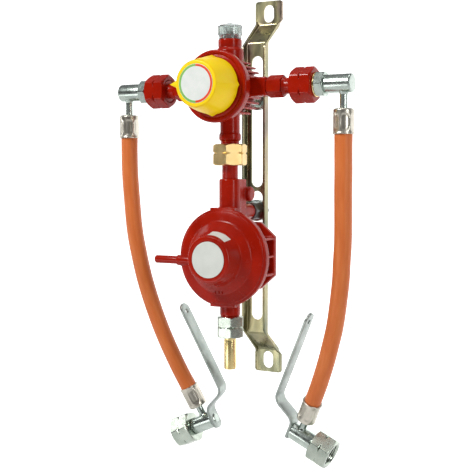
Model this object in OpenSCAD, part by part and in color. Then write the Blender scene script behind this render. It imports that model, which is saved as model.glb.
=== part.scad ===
// Wall-mounted two-cylinder gas regulator set with changeover valve and two hoses.
// Origin: centre of the two wall slots, on the wall. +Z up, -Y away from the wall.

/* [Wall bracket] */
// Overall height of the bracket
bracket_h = 391; // [381:1:410]
// Distance from each foot's end to the centre of its wall slot
foot_slot_edge = 13; // [12:0.5:15]
// Width of each wall slot
foot_slot_w = 12; // [8:0.5:14]
// Length of each wall slot, end to end
foot_slot_len = 18; // [15:0.5:20]
// Width of each foot
foot_w = 31.5; // [29:0.5:38]
// Length of each foot, from its bend to its end
foot_len = 25.5; // [23:0.5:30]
// Height from bend to bend over which each end slopes back to the wall
slope_h = 19.5; // [14:0.5:21]
// Sheet thickness of the bracket
sheet_t = 2; // [1.5:0.1:2.5]
// Clear depth behind the channel
web_gap = 26; // [22:0.5:30]
// Width of the channel over its flanges
channel_w = 26.6; // [25.5:0.1:29]
// Depth of the flanges in front of the channel
flange_h = 8.5; // [5:0.5:10]
// Width of the two long slots
long_slot_w = 13; // [11:0.1:13.5]
// Distance from the outer end of each long slot to the channel's bend
slot_end_gap = 14.5; // [10:0.5:25]
// Height of the bar between the long slots
slot_bar_h = 4; // [3:0.5:8]

/* [Bracket fasteners] */
// Height of the upper stud above the origin
upper_stud_z = 92; // [88:1:96]
// Height of the lower stud below the origin
lower_stud_drop = 22; // [21:0.5:24]
// Radius of the upper stud
upper_stud_r = 4; // [3:0.5:4]
// Radius of the lower stud
lower_stud_r = 5; // [4:0.5:5]
// Width across flats of the upper stud nuts
upper_nut_af = 13; // [13:0.5:15]
// Width across flats of the lower stud nuts
lower_nut_af = 17; // [16:0.5:17]
// Length of the upper stud's front nut
upper_front_nut_h = 14; // [6.5:0.5:18]
// Length of the lower stud's front nut
lower_front_nut_h = 16; // [12:0.5:24]
// Height of the back stud nuts
stud_nut_h = 6.5; // [5:0.5:8]
// Thickness of the washers
washer_t = 1.6; // [1:0.1:2.5]
// Length of stud beyond each back nut
stud_end = 2; // [1:0.5:3]

/* [Layout] */
// Distance of the pipe axis from the wall
pipe_standoff = 85; // [80:0.5:92]
// Height of the changeover valve above the origin
valve_z = 99; // [97:0.5:103]
// Distance from the pipe axis to each hose axis
arm_reach = 119.5; // [112:0.5:130]

/* [Changeover valve] */
// Radius over the ribs of the valve body
rib_r = 29; // [28:0.5:31]
// Radius of the round core behind the ribs
core_r = 23.5; // [22.5:0.5:25]
// Thickness of each rib
rib_t = 2.2; // [1.5:0.1:3]
// Distance from rib to rib
rib_pitch = 4.8; // [4.2:0.1:5]
// Depth of the body behind the pipe axis
body_back = 14; // [12:0.5:16]
// Depth of the body in front of the pipe axis
body_front = 24.5; // [22:0.5:27]
// Radius of the body's front flange
body_flange_r = 33; // [31.5:0.5:34]
// Radius of the diaphragm chamber
chamber_r = 20; // [18:0.5:20]
// Half width of the square arms of the body
arm_half = 9; // [8.5:0.25:9.5]
// Length of each arm from the pipe axis
arm_len = 43.5; // [41:0.5:46]
// Height of the outlet's end below the valve axis
valve_outlet_len = 63; // [60:0.5:68]
// Radius of the top boss
boss_r = 11.5; // [11.4:0.1:12.5]
// Height of the top boss above the valve axis
boss_h = 47.2; // [44:0.2:50]
// Radius of the bonnet's ring
bonnet_r = 34.5; // [33:0.5:36]
// Thickness of the bonnet's ring
bonnet_t = 7; // [6:0.5:8]
// Radius of the bonnet's dome under the knob
dome_r = 19; // [18:0.25:19.5]
// Height of the bonnet's dome in front of its ring
dome_h = 22.5; // [20:0.5:24]
// Thickness of both diaphragms
diaphragm_t = 1.2; // [0.8:0.1:1.6]
// Travel of the changeover valve's diaphragm plate
plate_travel = 1; // [0.6:0.1:1.2]
// Travel of the two inlet poppets
poppet_travel = 1.5; // [1:0.1:2]

/* [Changeover knob] */
// Length of the knob
knob_len = 32; // [30:0.5:36]
// Radius of the knob at its front
knob_front_r = 21.5; // [21:0.25:24]
// Radius of the knob at its base
knob_base_r = 27.5; // [25:0.25:29]
// Radius to the tips of the knob's fins
fin_r = 28.8; // [28:0.2:31]
// Width of each fin at its root
fin_w = 8; // [5:0.5:9]
// Radius of the plate on the front of the knob
face_r = 18; // [14:0.5:19]
// Radius of the spindle
spindle_r = 4; // [3:0.25:5]

/* [Reserve indicator] */
// Outer radius of the clear cap
cap_r = 11.1; // [10.8:0.1:11.3]
// Height of the clear cap without its nub
cap_h = 13.6; // [12.5:0.2:16]
// Wall of the clear cap
cap_wall = 1.5; // [1.2:0.1:1.8]
// Number of grip flutes round the cap
cap_flutes = 12; // [8:1:16]
// Travel of the indicator's plunger
plunger_travel = 3.5; // [2:0.25:3.75]

/* [Unions and nuts] */
// Width across flats of the four large hose nuts and the centre nut
union_af = 30; // [28:0.5:32]
// Length of the four large hose nuts
union_len = 22; // [20:0.5:24]
// Height of the centre nut
centre_nut_h = 21; // [19:0.5:22]
// Radius of the union threads
union_thread_r = 10.9; // [10.9:0.1:12]
// Thickness of the shoulder that holds a union's collar
shoulder_t = 3.5; // [3:0.25:4.5]
// Thickness of a union's collar
collar_t = 2.8; // [2:0.2:3.5]
// Thickness of the union seals
seal_t = 1.2; // [0.8:0.1:2]
// Width across flats of the inlet fittings
fitting_af = 19; // [18:0.5:21]
// Distance from the pipe axis to the inner end of each hose nut
union_x = 69.5; // [67.5:0.5:72]
// Radius of the neck of each inlet fitting
neck_r = 7.6; // [7:0.1:8]

/* [Hose ends] */
// Radius of the elbows' bodies
elbow_r = 8.8; // [8.5:0.1:9.5]
// Width across flats of the top elbows' hexagons
elbow_af = 22; // [20:0.5:24]
// Radius of the elbows' thin tubes
elbow_tube_r = 3.75; // [3.4:0.05:4]
// Distance from an elbow's axis to its ferrule
ferrule_drop = 23; // [20:0.5:26]
// Length of the ferrules
ferrule_len = 23.5; // [20:0.5:26]
// Outer radius of the ferrules
ferrule_r = 9.7; // [9.5:0.1:10.2]
// Outer radius of the hoses
hose_r = 8.5; // [8:0.1:8.7]
// Radius of the hoses' bore
hose_bore_r = 4.5; // [4.3:0.1:5]
// Tilt of the hoses' lower ends towards the middle
end_tilt = 25; // [20:1:30]
// Tilt of the hoses' lower ends towards the wall
end_lean = 11; // [6:1:16]

/* [Hand levers] */
// Thickness of the lever's strip
lever_t = 2.6; // [2:0.1:3]
// Width of the lever's strip
lever_w = 16; // [12:0.5:18]
// Offset of the grip from the elbow's end
lever_offset = 25.5; // [22:0.5:29]
// Height of the grip's top end above the elbow's axis
lever_h = 125; // [105:1:135]
// Height at which the grip starts above the elbow's axis
lever_start = 25; // [22:0.5:30]
// Turn of the lever about the elbow's axis
lever_swing = 3; // [0:0.5:5]

/* [Low-pressure regulator] */
// Distance from the regulator's inlet face to its centre
reg_drop = 76.5; // [74:0.5:78.5]
// Radius of the cover's rim
rim_r = 48; // [46.5:0.5:50]
// Radius of the clamping face inside the rim
clamp_r = 39.5; // [38:0.5:41]
// Distance of the joint between cover and body in front of the pipe axis
joint_y = 11; // [10.5:0.25:13]
// Depth of the cover's rim
rim_t = 6; // [5:0.5:7]
// Height of the nose's front in front of the pipe axis
nose_y = 43.6; // [42:0.2:46]
// Radius of the nose's front
nose_r = 22.5; // [21.5:0.5:24]
// Radius of the rating plate
rating_r = 17.5; // [15:0.5:19]
// Radius of the inlet cylinder
inlet_r = 10.7; // [10:0.1:12]
// Width of the rear plate
rear_w = 76; // [70:1:84]
// Height of the rear plate
rear_h = 67; // [60:1:70]
// Thickness of the rear plate
rear_t = 6; // [4:0.5:7]
// Distance of the rear plate's front behind the pipe axis
rear_y = 21; // [20:0.5:22]
// Travel of the regulator's diaphragm plate
diaphragm_travel = 2; // [1:0.1:2.2]
// Radius of the vent tube
vent_r = 4; // [3.5:0.1:4.2]
// Distance from the regulator's axis to the vent tube's end
vent_reach = 77; // [70:0.5:85]

/* [Outlet] */
// Width across flats of the outlet nut
outlet_af = 25; // [23:0.5:28]
// Height of the outlet nut
outlet_nut_h = 21; // [19:0.5:24]
// Radius of the outlet tube
stub_r = 6; // [5:0.25:6.5]
// Length of the outlet tube below its nut
stub_len = 32; // [24:0.5:40]
// Length of the regulator's outlet thread below its centre
outlet_len = 70; // [67:0.5:73]

/* [Hidden] */

RED = "#9c2420";
YELLOW = "#f5cf1d";
CHROMATE = "#b3ab7c";
ZINC = "#a9b2b0";
NICKEL = "#b9b8b0";
BRASS = "#d3b473";
ORANGE = "#d5763f";
DARK = "#4b4f50";
RUBBER = "#26262a";
PALE = "#e6e8e4";

ROUND = 64;      // facets of round shapes in a preview
EPS = 0.01;
RUN = 0.05;      // running clearance of a shaft in its bore
LOOSE = 0.3;     // gap between faces that move past each other
FLAT_GAP = 0.2;  // gap between flat faces that turn against each other

pipe_y = -pipe_standoff;
web_front = -(web_gap + sheet_t);
half_h = bracket_h / 2;
foot_bend_z = half_h - foot_len;
web_bend_z = foot_bend_z - slope_h;
foot_slot_z = half_h - foot_slot_edge;
long_slot_len = web_bend_z - slot_end_gap - slot_bar_h / 2;
bend_trim = sheet_t * tan(atan2(web_gap, slope_h) / 2);
washer_r = channel_w / 2 - sheet_t - FLAT_GAP;
long_slot_z = (slot_bar_h + long_slot_len) / 2;
lower_stud_z = -lower_stud_drop;
stud_back = web_front + sheet_t + washer_t + stud_nut_h + stud_end;

// Changeover valve, measured forwards (f) from the pipe axis
bonnet_front_f = body_front + bonnet_t;
dome_front_f = bonnet_front_f + dome_h;
dome_wall = 2.5;
diaphragm_r = body_flange_r - 3;
spring_cup_r = dome_r - 3;
spring_seat_f = dome_front_f - dome_wall - LOOSE;
spindle_disc_t = 3.2;
valve_plate_r = spring_cup_r - 1.5;
valve_plate_t = 1.5;
valve_stem_r = 1.8;
valve_stem_len = 22;
valve_coil_r = 9;
valve_wire_r = 0.7;
knob_back_f = bonnet_front_f + 1.5;
knob_front_f = knob_back_f + knob_len;
face_t = 1;
pocket_r = 12;
pocket_back = 6.5;
port_r = 2.2;
outlet_bore_r = 5;
rib_count = 4;
stud_boss_r = 8;
stud_boss_back = body_back + 6;
stud_depth = 10;
lower_boss_back = pipe_standoff + web_front - washer_t - lower_front_nut_h - 0.4;

// Inlet fittings, measured outwards from the pipe axis
seat_x = arm_len - 10.5;
shank_r = 7;
spigot_start = union_x + 0.7;
spigot_end = union_x + union_len - shoulder_t - FLAT_GAP - collar_t - seal_t;
spigot_r = union_thread_r - RUN;
collar_r = union_thread_r - 0.4;
collar_x = spigot_end + seal_t;
shoulder_bore_r = elbow_r - 0.5;
elbow_neck_r = shoulder_bore_r - LOOSE;
nut_outer_x = union_x + union_len;
nut_relief = shoulder_t + FLAT_GAP + collar_t + seal_t;
thrust_ring_t = 1.4;
thrust_x = nut_outer_x + LOOSE;
hex_x = thrust_x + thrust_ring_t;
hex_len = 8.8;
elbow_end_x = arm_reach + 9;
poppet_bore_r = 5;
poppet_bore_end = seat_x + 17;
poppet_len = 4.4;
poppet_stem_len = 8;
poppet_coil_r = 4.2;
hex_setback = 11;
poppet_wire_r = 0.4;
seal_bore_r = 4.5;

// Reserve indicator, measured upwards from the valve axis
cap_top = boss_h + cap_h;
cap_inner_r = cap_r - cap_wall;
cap_inner_top = cap_top - cap_wall;
collar_band_t = 1.2;
collar_band_h = 3.6;
plunger_disc_r = cap_inner_r - collar_band_t - 3 * LOOSE;
plunger_z = boss_h + 1;
plunger_disc_t = 3;
plunger_post_r = 3.2;
plunger_stem_r = 2.5;
plunger_wire_r = 0.4;
cap_lip_r = 8.6;
cap_lip_h = 3;

// Pipe line between the two regulators
centre_face_z = valve_z - valve_outlet_len;
centre_seal_t = 1.5;
centre_nut_top = centre_face_z + 9;
centre_nut_bottom = centre_nut_top - centre_nut_h;
pipe_r = 7.8;
pipe_bore_r = 5;
pipe_hole_r = pipe_r + LOOSE;
pipe_collar_top = centre_face_z - centre_seal_t;
pipe_collar_bottom = pipe_collar_top - 3.8;
reg_inlet_z = centre_nut_bottom - 13;
reg_z = reg_inlet_z - reg_drop;
pipe_socket = 19;

// Low-pressure regulator, measured forwards (f) from the pipe axis and up from its centre
cover_front_f = joint_y + rim_t;
body_flange_f = joint_y - 4;
reg_diaphragm_r = clamp_r + 3.5;
pad_half = 13.5;
pad_z = rim_r + 0.5;
plate_front_f = joint_y + diaphragm_t;
reg_plate_r = 26;
reg_plate_t = 1.6;
stem_r = 2.2;
reg_wire_r = 0.9;
adjuster_t = 4;
adjuster_f = nose_y - 2.7;
nose_bore_r = nose_r - 3;
bowl_back = 15;
bowl_wall = 3.5;
pivot_back = 8.6;
pivot_up = 20;
pin_r = 1.2;
lever_hub_r = 2.4;
arm_t = 1.6;
hub_half = 4.5;
piston_r = 5.85;
piston_bore_r = piston_r + RUN;
seat_bottom = 30;
seat_top = 34;
piston_top = seat_bottom - 1.1;
piston_bottom = 16;
slot_low = 17.9;
slot_high = 22.1;
vent_f = joint_y + vent_r + 0.2;
vent_z = -4.5;
vent_boss_r = vent_r + 1.3;
vent_root = clamp_r + 4.5;
vent_boss_x = rim_r + 3;
step = 0.3;      // how much thinner a tube is where it is held
side_boss_z = 61.5;
side_boss_back = 20;
side_boss_half = 14;

// Outlet, measured downwards from the regulator's centre
outlet_thread_r = 9;
outlet_nut_top = outlet_len - 11;
outlet_nut_bottom = outlet_nut_top + outlet_nut_h;
stub_top = outlet_len - 4;
stub_bottom = outlet_nut_bottom + stub_len;
ring_top = outlet_len;
ring_bottom = outlet_nut_bottom - 3.4;

// Hose ends
ferrule_wall_end = 2;
ferrule_bore_r = hose_r + 0.1;
tail_depth = ferrule_len - ferrule_wall_end;
HOSE_SIDES = 10;
tail_r = hose_bore_r * cos(180 / HOSE_SIDES) - 0.1;
elbow_bore_r = 3.5;
tube_bore_r = 2.2;
lower_axis = ferrule_len + ferrule_drop - 4;
lower_elbow_back = 9.5;
lower_nut_x = 16.7;
lower_collar_x = lower_nut_x + shoulder_t + FLAT_GAP;
lower_seal_x = lower_collar_x + collar_t;
lower_seal_t = 2;
lower_nut_relief = lower_seal_x + lower_seal_t + FLAT_GAP - lower_nut_x;
rivet_r = 4;
rivet_h = 1.4;
lever_disc_r = 10.5;
lever_hole_r = 2.5;
cut_reach = 2 * lever_offset;
cut_length = cut_reach + 2 * lever_disc_r;

// Mouth of the right upper ferrule
HOSE_START = [arm_reach, pipe_y, valve_z - ferrule_drop - ferrule_len];

// Centre line of the right hose down to the mouth of its lower ferrule, counted from HOSE_START
HOSE_ROUTE = [
    [0, 0, 0], [0, 0, -17], [0, 0.5, -34], [-0.5, 1.5, -51], [-1, 3, -68], [-1.5, 4.5, -85],
    [-2.5, 6.5, -102], [-4.5, 9, -119], [-6.5, 12, -135.5], [-9.5, 15, -152.5],
    [-13, 18.5, -169], [-17, 22, -185], [-22, 25, -201], [-27.5, 28.5, -217],
    [-33.5, 32, -232.5], [-40, 35.5, -248], [-47, 39, -263]
];
HOSE_POINTS = [for (p = HOSE_ROUTE) HOSE_START + p];
HOSE_END = HOSE_POINTS[len(HOSE_POINTS) - 1];
END_TANGENT = [-cos(end_lean) * sin(end_tilt), sin(end_lean), -cos(end_lean) * cos(end_tilt)];

// ---------- shared shapes ----------

// Children drawn along +Z point away from the wall
module forwards() rotate([90, 0, 0]) children();

// Children drawn along +Z point towards the wall
module backwards() rotate([-90, 0, 0]) children();

// Children drawn along +Z point along +X
module sideways() rotate([0, 90, 0]) children();

// Solid of revolution about Z from [radius, height] points
module turned(points) rotate_extrude($fn = ROUND) polygon(points);

// Ring about Z
module ring(outer_r, inner_r, low, high)
    turned([[inner_r, low], [outer_r, low], [outer_r, high], [inner_r, high]]);

// Rod about Z
module rod(r, low, high) translate([0, 0, low]) cylinder(r = r, h = high - low, $fn = ROUND);

// Hexagonal prism with turned chamfers at both ends
module hexagon(across, low, high, turn = 0) {
    corner = across / 2 / cos(30);
    edge = across / 2 * 0.96;
    fall = (corner - edge) * 0.6;
    intersection() {
        translate([0, 0, low]) rotate([0, 0, turn]) cylinder(r = corner, h = high - low, $fn = 6);
        turned([[0, low], [edge, low], [corner + EPS, low + fall],
                [corner + EPS, high - fall], [edge, high], [0, high]]);
    }
}

// Groove round the corners of a hexagon, the mark of a left-hand thread
module corner_marks(across, z) {
    corner = across / 2 / cos(30);
    depth = 1;
    turned([[corner - depth, z], [corner + depth, z - 2 * depth], [corner + depth, z + 2 * depth]]);
}

// Slot along Z with round ends, cut along Y between two depths
module slot_cut(width, length, y_low, y_high) {
    straight = length - width;
    for (side = [-1, 1])
        translate([0, y_low, side * straight / 2]) backwards() rod(width / 2, 0, y_high - y_low);
    translate([-width / 2, y_low, -straight / 2]) cube([width, y_high - y_low, straight]);
}

// Vector of length one
function unit(v) = v / norm(v);

// Helical spring about Z with flat pitch, one closed tube
module helix(coil_r, wire_r, low, high, turns) {
    sides = 6;
    steps = 8 * turns;
    rise = high - low - 2 * wire_r;
    points = [for (i = [0:steps], j = [0:sides - 1])
        let (a = 360 * turns * i / steps, b = 360 * j / sides, r = coil_r + wire_r * cos(b))
        [r * cos(a), r * sin(a), low + wire_r + rise * i / steps + wire_r * sin(b)]];
    walls = [for (i = [0:steps - 1], j = [0:sides - 1], h = [0, 1])
        let (k = (j + 1) % sides, p = i * sides, q = p + sides)
        h == 0 ? [p + j, q + j, q + k] : [p + j, q + k, p + k]];
    start = [for (j = [1:sides - 2]) [0, j, j + 1]];
    last = steps * sides;
    end = [for (j = [1:sides - 2]) [last, last + j + 1, last + j]];
    polyhedron(points, concat(walls, start, end), convexity = 10);
}

// Rings of points square to a route: centre, direction, radius
function route_ring(centre, along, r, n) =
    let (u = unit(cross(along, [0, 1, 0])), v = cross(u, along))
    [for (j = [0:n - 1]) centre + r * (cos(360 * j / n) * u + sin(360 * j / n) * v)];

// Hose with a bore along a route, its ends square to the given directions
module hose_tube(route, first, last, outer_r, inner_r, n) {
    m = len(route);
    along = [for (i = [0:m - 1])
        i == 0 ? first : i == m - 1 ? last : unit(route[i + 1] - route[i - 1])];
    outer = [for (i = [0:m - 1]) each route_ring(route[i], along[i], outer_r, n)];
    inner = [for (i = [0:m - 1]) each route_ring(route[i], along[i], inner_r, n)];
    off = m * n;
    skin = [for (i = [0:m - 2], j = [0:n - 1], h = [0, 1])
        let (k = (j + 1) % n, p = i * n, q = p + n)
        h == 0 ? [p + j, q + k, q + j] : [p + j, p + k, q + k]];
    bore = [for (f = skin) [f[0] + off, f[2] + off, f[1] + off]];
    ends = [for (i = [0, m - 1], j = [0:n - 1], h = [0, 1])
        let (k = (j + 1) % n, a = i * n + j, b = i * n + k)
        i == 0 ? (h == 0 ? [a, a + off, b + off] : [a, b + off, b])
               : (h == 0 ? [a, b + off, a + off] : [a, b, b + off])];
    polyhedron(concat(outer, inner), concat(skin, bore, ends), convexity = 10);
}

// ---------- wall bracket ----------

// Sheet seen from the side, upper half: web, slope and foot
module bracket_side()
    for (side = [0, 1]) mirror([0, side])
        polygon([[web_front, -EPS], [web_front, web_bend_z], [-sheet_t, foot_bend_z],
                 [-sheet_t, half_h], [0, half_h], [0, foot_bend_z - bend_trim],
                 [web_front + sheet_t, web_bend_z - bend_trim], [web_front + sheet_t, -EPS]]);

// Sheet seen from the front, upper half
module bracket_front() {
    corner = 3;
    round_corner = [for (a = [0:15:90])
        [foot_w / 2 - corner + corner * cos(a), half_h - corner + corner * sin(a)]];
    right = concat([[channel_w / 2, -EPS], [channel_w / 2, foot_bend_z + 1], [foot_w / 2, foot_bend_z + 6]],
                   round_corner);
    left = [for (i = [len(right) - 1:-1:0]) [-right[i][0], right[i][1]]];
    for (side = [0, 1]) mirror([0, side]) polygon(concat(right, left));
}

// One folded flange seen from the side
module flange_side() {
    front = web_front + sheet_t - flange_h - sheet_t;
    for (side = [0, 1]) mirror([0, side])
        polygon([[front, -EPS], [front, web_bend_z - 5], [-sheet_t, foot_bend_z + 5],
                 [0, foot_bend_z + 4], [0, foot_bend_z - bend_trim],
                 [web_front + sheet_t, web_bend_z - bend_trim], [web_front + sheet_t, -EPS]]);
}

module bracket()
    color(CHROMATE) difference() {
        union() {
            intersection() {
                translate([-foot_w, 0, 0]) rotate([90, 0, 90]) linear_extrude(2 * foot_w) bracket_side();
                translate([0, 1, 0]) forwards() linear_extrude(web_gap + sheet_t + 2) bracket_front();
            }
            for (x = [-channel_w / 2, channel_w / 2 - sheet_t])
                translate([x, 0, 0]) rotate([90, 0, 90]) linear_extrude(sheet_t) flange_side();
        }
        for (side = [-1, 1]) {
            translate([0, 0, side * foot_slot_z])
                slot_cut(foot_slot_w, foot_slot_len, -sheet_t - 1, 1);
            translate([0, 0, side * long_slot_z])
                slot_cut(long_slot_w, long_slot_len, web_front - 1, web_front + sheet_t + 1);
        }
    }

// Stud along Y from inside a body to behind the web
module stud(r, z, tip_y) translate([0, tip_y, z]) backwards() rod(r, 0, stud_back - tip_y);

upper_stud_tip = pipe_y + stud_boss_back - stud_depth;
lower_stud_tip = pipe_y + lower_boss_back - stud_depth;

module mounting_studs() color(ZINC) {
    stud(upper_stud_r, upper_stud_z, upper_stud_tip);
    stud(lower_stud_r, lower_stud_z, lower_stud_tip);
}

// A nut in front of the web and one behind it
module stud_nut_pair(across, r, z, front_h)
    for (seat = [[web_front - washer_t - front_h, front_h], [web_front + sheet_t + washer_t, stud_nut_h]])
        translate([0, seat[0], z]) backwards() difference() {
            hexagon(across, 0, seat[1]);
            rod(r + RUN, -1, seat[1] + 1);
        }

module upper_stud_nuts()
    color(ZINC) stud_nut_pair(upper_nut_af, upper_stud_r, upper_stud_z, upper_front_nut_h);

module lower_stud_nuts()
    color(DARK) stud_nut_pair(lower_nut_af, lower_stud_r, lower_stud_z, lower_front_nut_h);

module stud_washers()
    color(ZINC) for (place = [[upper_stud_z, upper_stud_r], [lower_stud_z, lower_stud_r]],
                     y = [web_front - washer_t, web_front + sheet_t])
        translate([0, y, place[0]]) backwards() ring(washer_r, place[1] + RUN, 0, washer_t);

// ---------- changeover valve ----------

// Children are drawn in the valve's frame: pipe axis at the centre, +Z up
module at_valve() translate([0, pipe_y, valve_z]) children();

module valve_ribs()
    intersection() {
        translate([0, body_back, 0]) forwards() rod(rib_r, 0, body_back + body_front - 1);
        for (side = [-1, 1], i = [0:rib_count - 1])
            translate([-rib_r, -body_front, side * (rib_r - 4.8 - i * rib_pitch) - rib_t / 2])
                cube([2 * rib_r, body_front + body_back, rib_t]);
    }

module valve_body_solid() {
    translate([0, body_back, 0]) forwards() {
        rod(core_r, 0, body_back + body_front);
        turned([[0, body_back + body_front - 9.5], [rib_r - 0.7, body_back + body_front - 9.5],
                [body_flange_r, body_back + body_front - 5.5],
                [body_flange_r, body_back + body_front], [0, body_back + body_front]]);
    }
    valve_ribs();
    for (side = [-1, 1])
        translate([side < 0 ? -arm_len : 0, -arm_half, -arm_half])
            cube([arm_len, 2 * arm_half, 2 * arm_half]);
    turned([[0, 0], [boss_r + 1.9, 0], [boss_r + 1.9, boss_h - 10.5], [boss_r - 0.4, boss_h - 8.5],
            [boss_r - 0.4, boss_h - 7.5], [boss_r, boss_h - 6.5], [boss_r, boss_h], [0, boss_h]]);
    neck = 9.6;
    mirror([0, 0, 1])
        turned([[0, 0], [neck, 0], [neck, valve_outlet_len - 19.5], [neck + 1.2, valve_outlet_len - 18.5],
                [neck + 1.2, valve_outlet_len - 13], [neck - 0.7, valve_outlet_len - 12],
                [neck - 0.7, valve_outlet_len - 8.5], [spigot_r, valve_outlet_len - 8.5],
                [spigot_r, valve_outlet_len - 1], [spigot_r - 1, valve_outlet_len], [0, valve_outlet_len]]);
    translate([0, 0, upper_stud_z - valve_z]) backwards() rod(stud_boss_r, 0, stud_boss_back);
}

module valve_body()
    color(RED) at_valve() difference() {
        valve_body_solid();
        forwards() rod(chamber_r, 5.5, body_front + 1);
        forwards() rod(pocket_r, -pocket_back, 6);
        for (side = [0, 1]) mirror([side, 0, 0]) sideways() {
            rod(port_r, 0, seat_x + 1);
            rod(shank_r + RUN, seat_x, arm_len + 1);
        }
        mirror([0, 0, 1]) rod(outlet_bore_r, 0, valve_outlet_len + 1);
        rod(plunger_stem_r + RUN, 0, boss_h + 1);
        rod(cap_lip_r + RUN, boss_h - cap_lip_h - FLAT_GAP, boss_h + 1);
        translate([0, 0, upper_stud_z - valve_z]) backwards()
            rod(upper_stud_r + RUN, stud_boss_back - stud_depth, stud_boss_back + 1);
    }

module valve_bonnet()
    color(RED) at_valve() forwards() difference() {
        turned([[0, body_front], [bonnet_r - 0.6, body_front], [bonnet_r, body_front + 0.6],
                [bonnet_r, bonnet_front_f - 1.5], [bonnet_r - 1.5, bonnet_front_f],
                [dome_r + 3, bonnet_front_f], [dome_r, bonnet_front_f + 1],
                [dome_r, dome_front_f - 2], [dome_r - 2, dome_front_f], [0, dome_front_f]]);
        rod(diaphragm_r + RUN, body_front - 1, body_front + diaphragm_t);
        rod(spring_cup_r, body_front, dome_front_f - dome_wall);
        rod(spindle_r + RUN, body_front, dome_front_f + 1);
    }

module valve_diaphragm()
    color(RUBBER) at_valve() forwards()
        ring(diaphragm_r, valve_stem_r + LOOSE, body_front, body_front + diaphragm_t);

// Plate on the front of the diaphragm, with the stem that works the valve
module valve_plate()
    color(ZINC) at_valve() forwards() {
        low = body_front + diaphragm_t;
        stem_end = low - valve_stem_len;
        turned([[0, stem_end], [valve_stem_r, stem_end], [valve_stem_r, low],
                [valve_plate_r, low], [valve_plate_r, low + valve_plate_t], [0, low + valve_plate_t]]);
    }

module valve_spring()
    color(NICKEL) at_valve() forwards()
        helix(valve_coil_r, valve_wire_r, body_front + diaphragm_t + valve_plate_t,
              spring_seat_f - spindle_disc_t - plate_travel - 0.1, 5);

// Children are drawn for the right-hand side; side 1 mirrors them to the left
module on_side(side) mirror([side, 0, 0]) children();

module inlet_fitting(side)
    color(RED) at_valve() on_side(side) sideways() difference() {
        hex_end = spigot_start - hex_setback;
        union() {
            rod(shank_r, seat_x, arm_len + EPS);
            hexagon(fitting_af, arm_len, hex_end);
            turned([[0, hex_end - EPS], [fitting_af / 2 * 0.96, hex_end - EPS], [neck_r, hex_end + 2.4],
                    [neck_r, spigot_start], [spigot_r, spigot_start], [spigot_r, spigot_end - 1],
                    [spigot_r - 1, spigot_end], [0, spigot_end]]);
        }
        rod(poppet_bore_r, seat_x - 1, poppet_bore_end);
        rod(elbow_bore_r, seat_x - 1, spigot_end + 1);
    }

module left_inlet_fitting() inlet_fitting(1);
module right_inlet_fitting() inlet_fitting(0);

// Non-return poppet that closes the port from the changeover valve
module poppet(side)
    color(BRASS) at_valve() on_side(side) sideways() {
        low = seat_x + 0.1;
        stem_end = seat_x - poppet_stem_len;
        turned([[0, stem_end], [port_r - LOOSE, stem_end], [port_r - LOOSE, low],
                [poppet_bore_r - 1, low], [poppet_bore_r - RUN, low + 1],
                [poppet_bore_r - RUN, low + poppet_len], [0, low + poppet_len]]);
    }

module left_poppet() poppet(1);
module right_poppet() poppet(0);

module poppet_springs()
    color(NICKEL) at_valve() for (side = [0, 1]) on_side(side) sideways()
        helix(poppet_coil_r, poppet_wire_r, seat_x + 0.1 + poppet_len + poppet_travel + 0.1,
              poppet_bore_end, 4);

// Fin along the whole knob, pointing along X
module knob_fin(half)
    translate([0, 0, knob_back_f]) linear_extrude(knob_len - 0.6)
        polygon([[knob_front_r - 4, -half], [fin_r, -0.3], [fin_r, 0.3], [knob_front_r - 4, half]]);

module changeover_knob()
    color(YELLOW) at_valve() forwards() difference() {
        union() {
            turned([[0, knob_back_f], [knob_base_r - 0.8, knob_back_f], [knob_base_r, knob_back_f + 1],
                    [knob_front_r + 0.5, knob_front_f - 1.8], [knob_front_r - 0.8, knob_front_f - 0.4],
                    [knob_front_r - 1.6, knob_front_f], [0, knob_front_f]]);
            rotate([0, 0, 180]) knob_fin(fin_w / 2);
            intersection() {
                for (a = [0, 90, 270]) rotate([0, 0, a]) knob_fin(fin_w / 2 + 1);
                turned([[0, knob_back_f - 1], [fin_r + 1, knob_back_f - 1], [fin_r + 1, knob_back_f + 3],
                        [knob_front_r - 0.4, knob_front_f - 1.2], [0, knob_front_f - 1.2]]);
            }
        }
        turned([[0, knob_back_f - 1], [dome_r + 1.5, knob_back_f - 1],
                [dome_r + LOOSE, dome_front_f + LOOSE], [0, dome_front_f + LOOSE]]);
        rod(spindle_r + RUN, knob_back_f, knob_front_f - face_t - 3);
        rod(face_r + RUN, knob_front_f - face_t + 0.3, knob_front_f + 1);
    }

module knob_face()
    color(PALE) at_valve() forwards() rod(face_r, knob_front_f - face_t + 0.3, knob_front_f + 0.3);

// Spindle with the disc that loads the spring
module knob_spindle()
    color(ZINC) at_valve() forwards() {
        disc_low = spring_seat_f - spindle_disc_t;
        turned([[0, disc_low], [spring_cup_r - 2, disc_low], [spring_cup_r - 2, spring_seat_f],
                [spindle_r, spring_seat_f], [spindle_r, knob_front_f - face_t - 3],
                [0, knob_front_f - face_t - 3]]);
    }

module indicator_cap()
    color(PALE, 0.4) at_valve() difference() {
        union() {
            turned([[0, boss_h], [cap_r - 0.7, boss_h], [cap_r - 0.7, boss_h + 3.5],
                    [cap_r, boss_h + 4.5], [cap_r, cap_top - 1], [cap_r - 1, cap_top], [3.4, cap_top],
                    [3.4, cap_top + 1.6], [3, cap_top + 2], [0, cap_top + 2]]);
            ring(cap_lip_r, cap_lip_r - 1.2, boss_h - cap_lip_h, boss_h + 1);
        }
        rod(cap_inner_r, boss_h + 1, cap_inner_top);
        rod(cap_lip_r - 1.2, boss_h - cap_lip_h - 1, boss_h + 2);
        for (i = [0:cap_flutes - 1]) rotate([0, 0, (i + 0.5) * 360 / cap_flutes])
            translate([cap_r + 0.3, 0, 0]) rod(1, boss_h + 4, cap_top + 1);
    }

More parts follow.
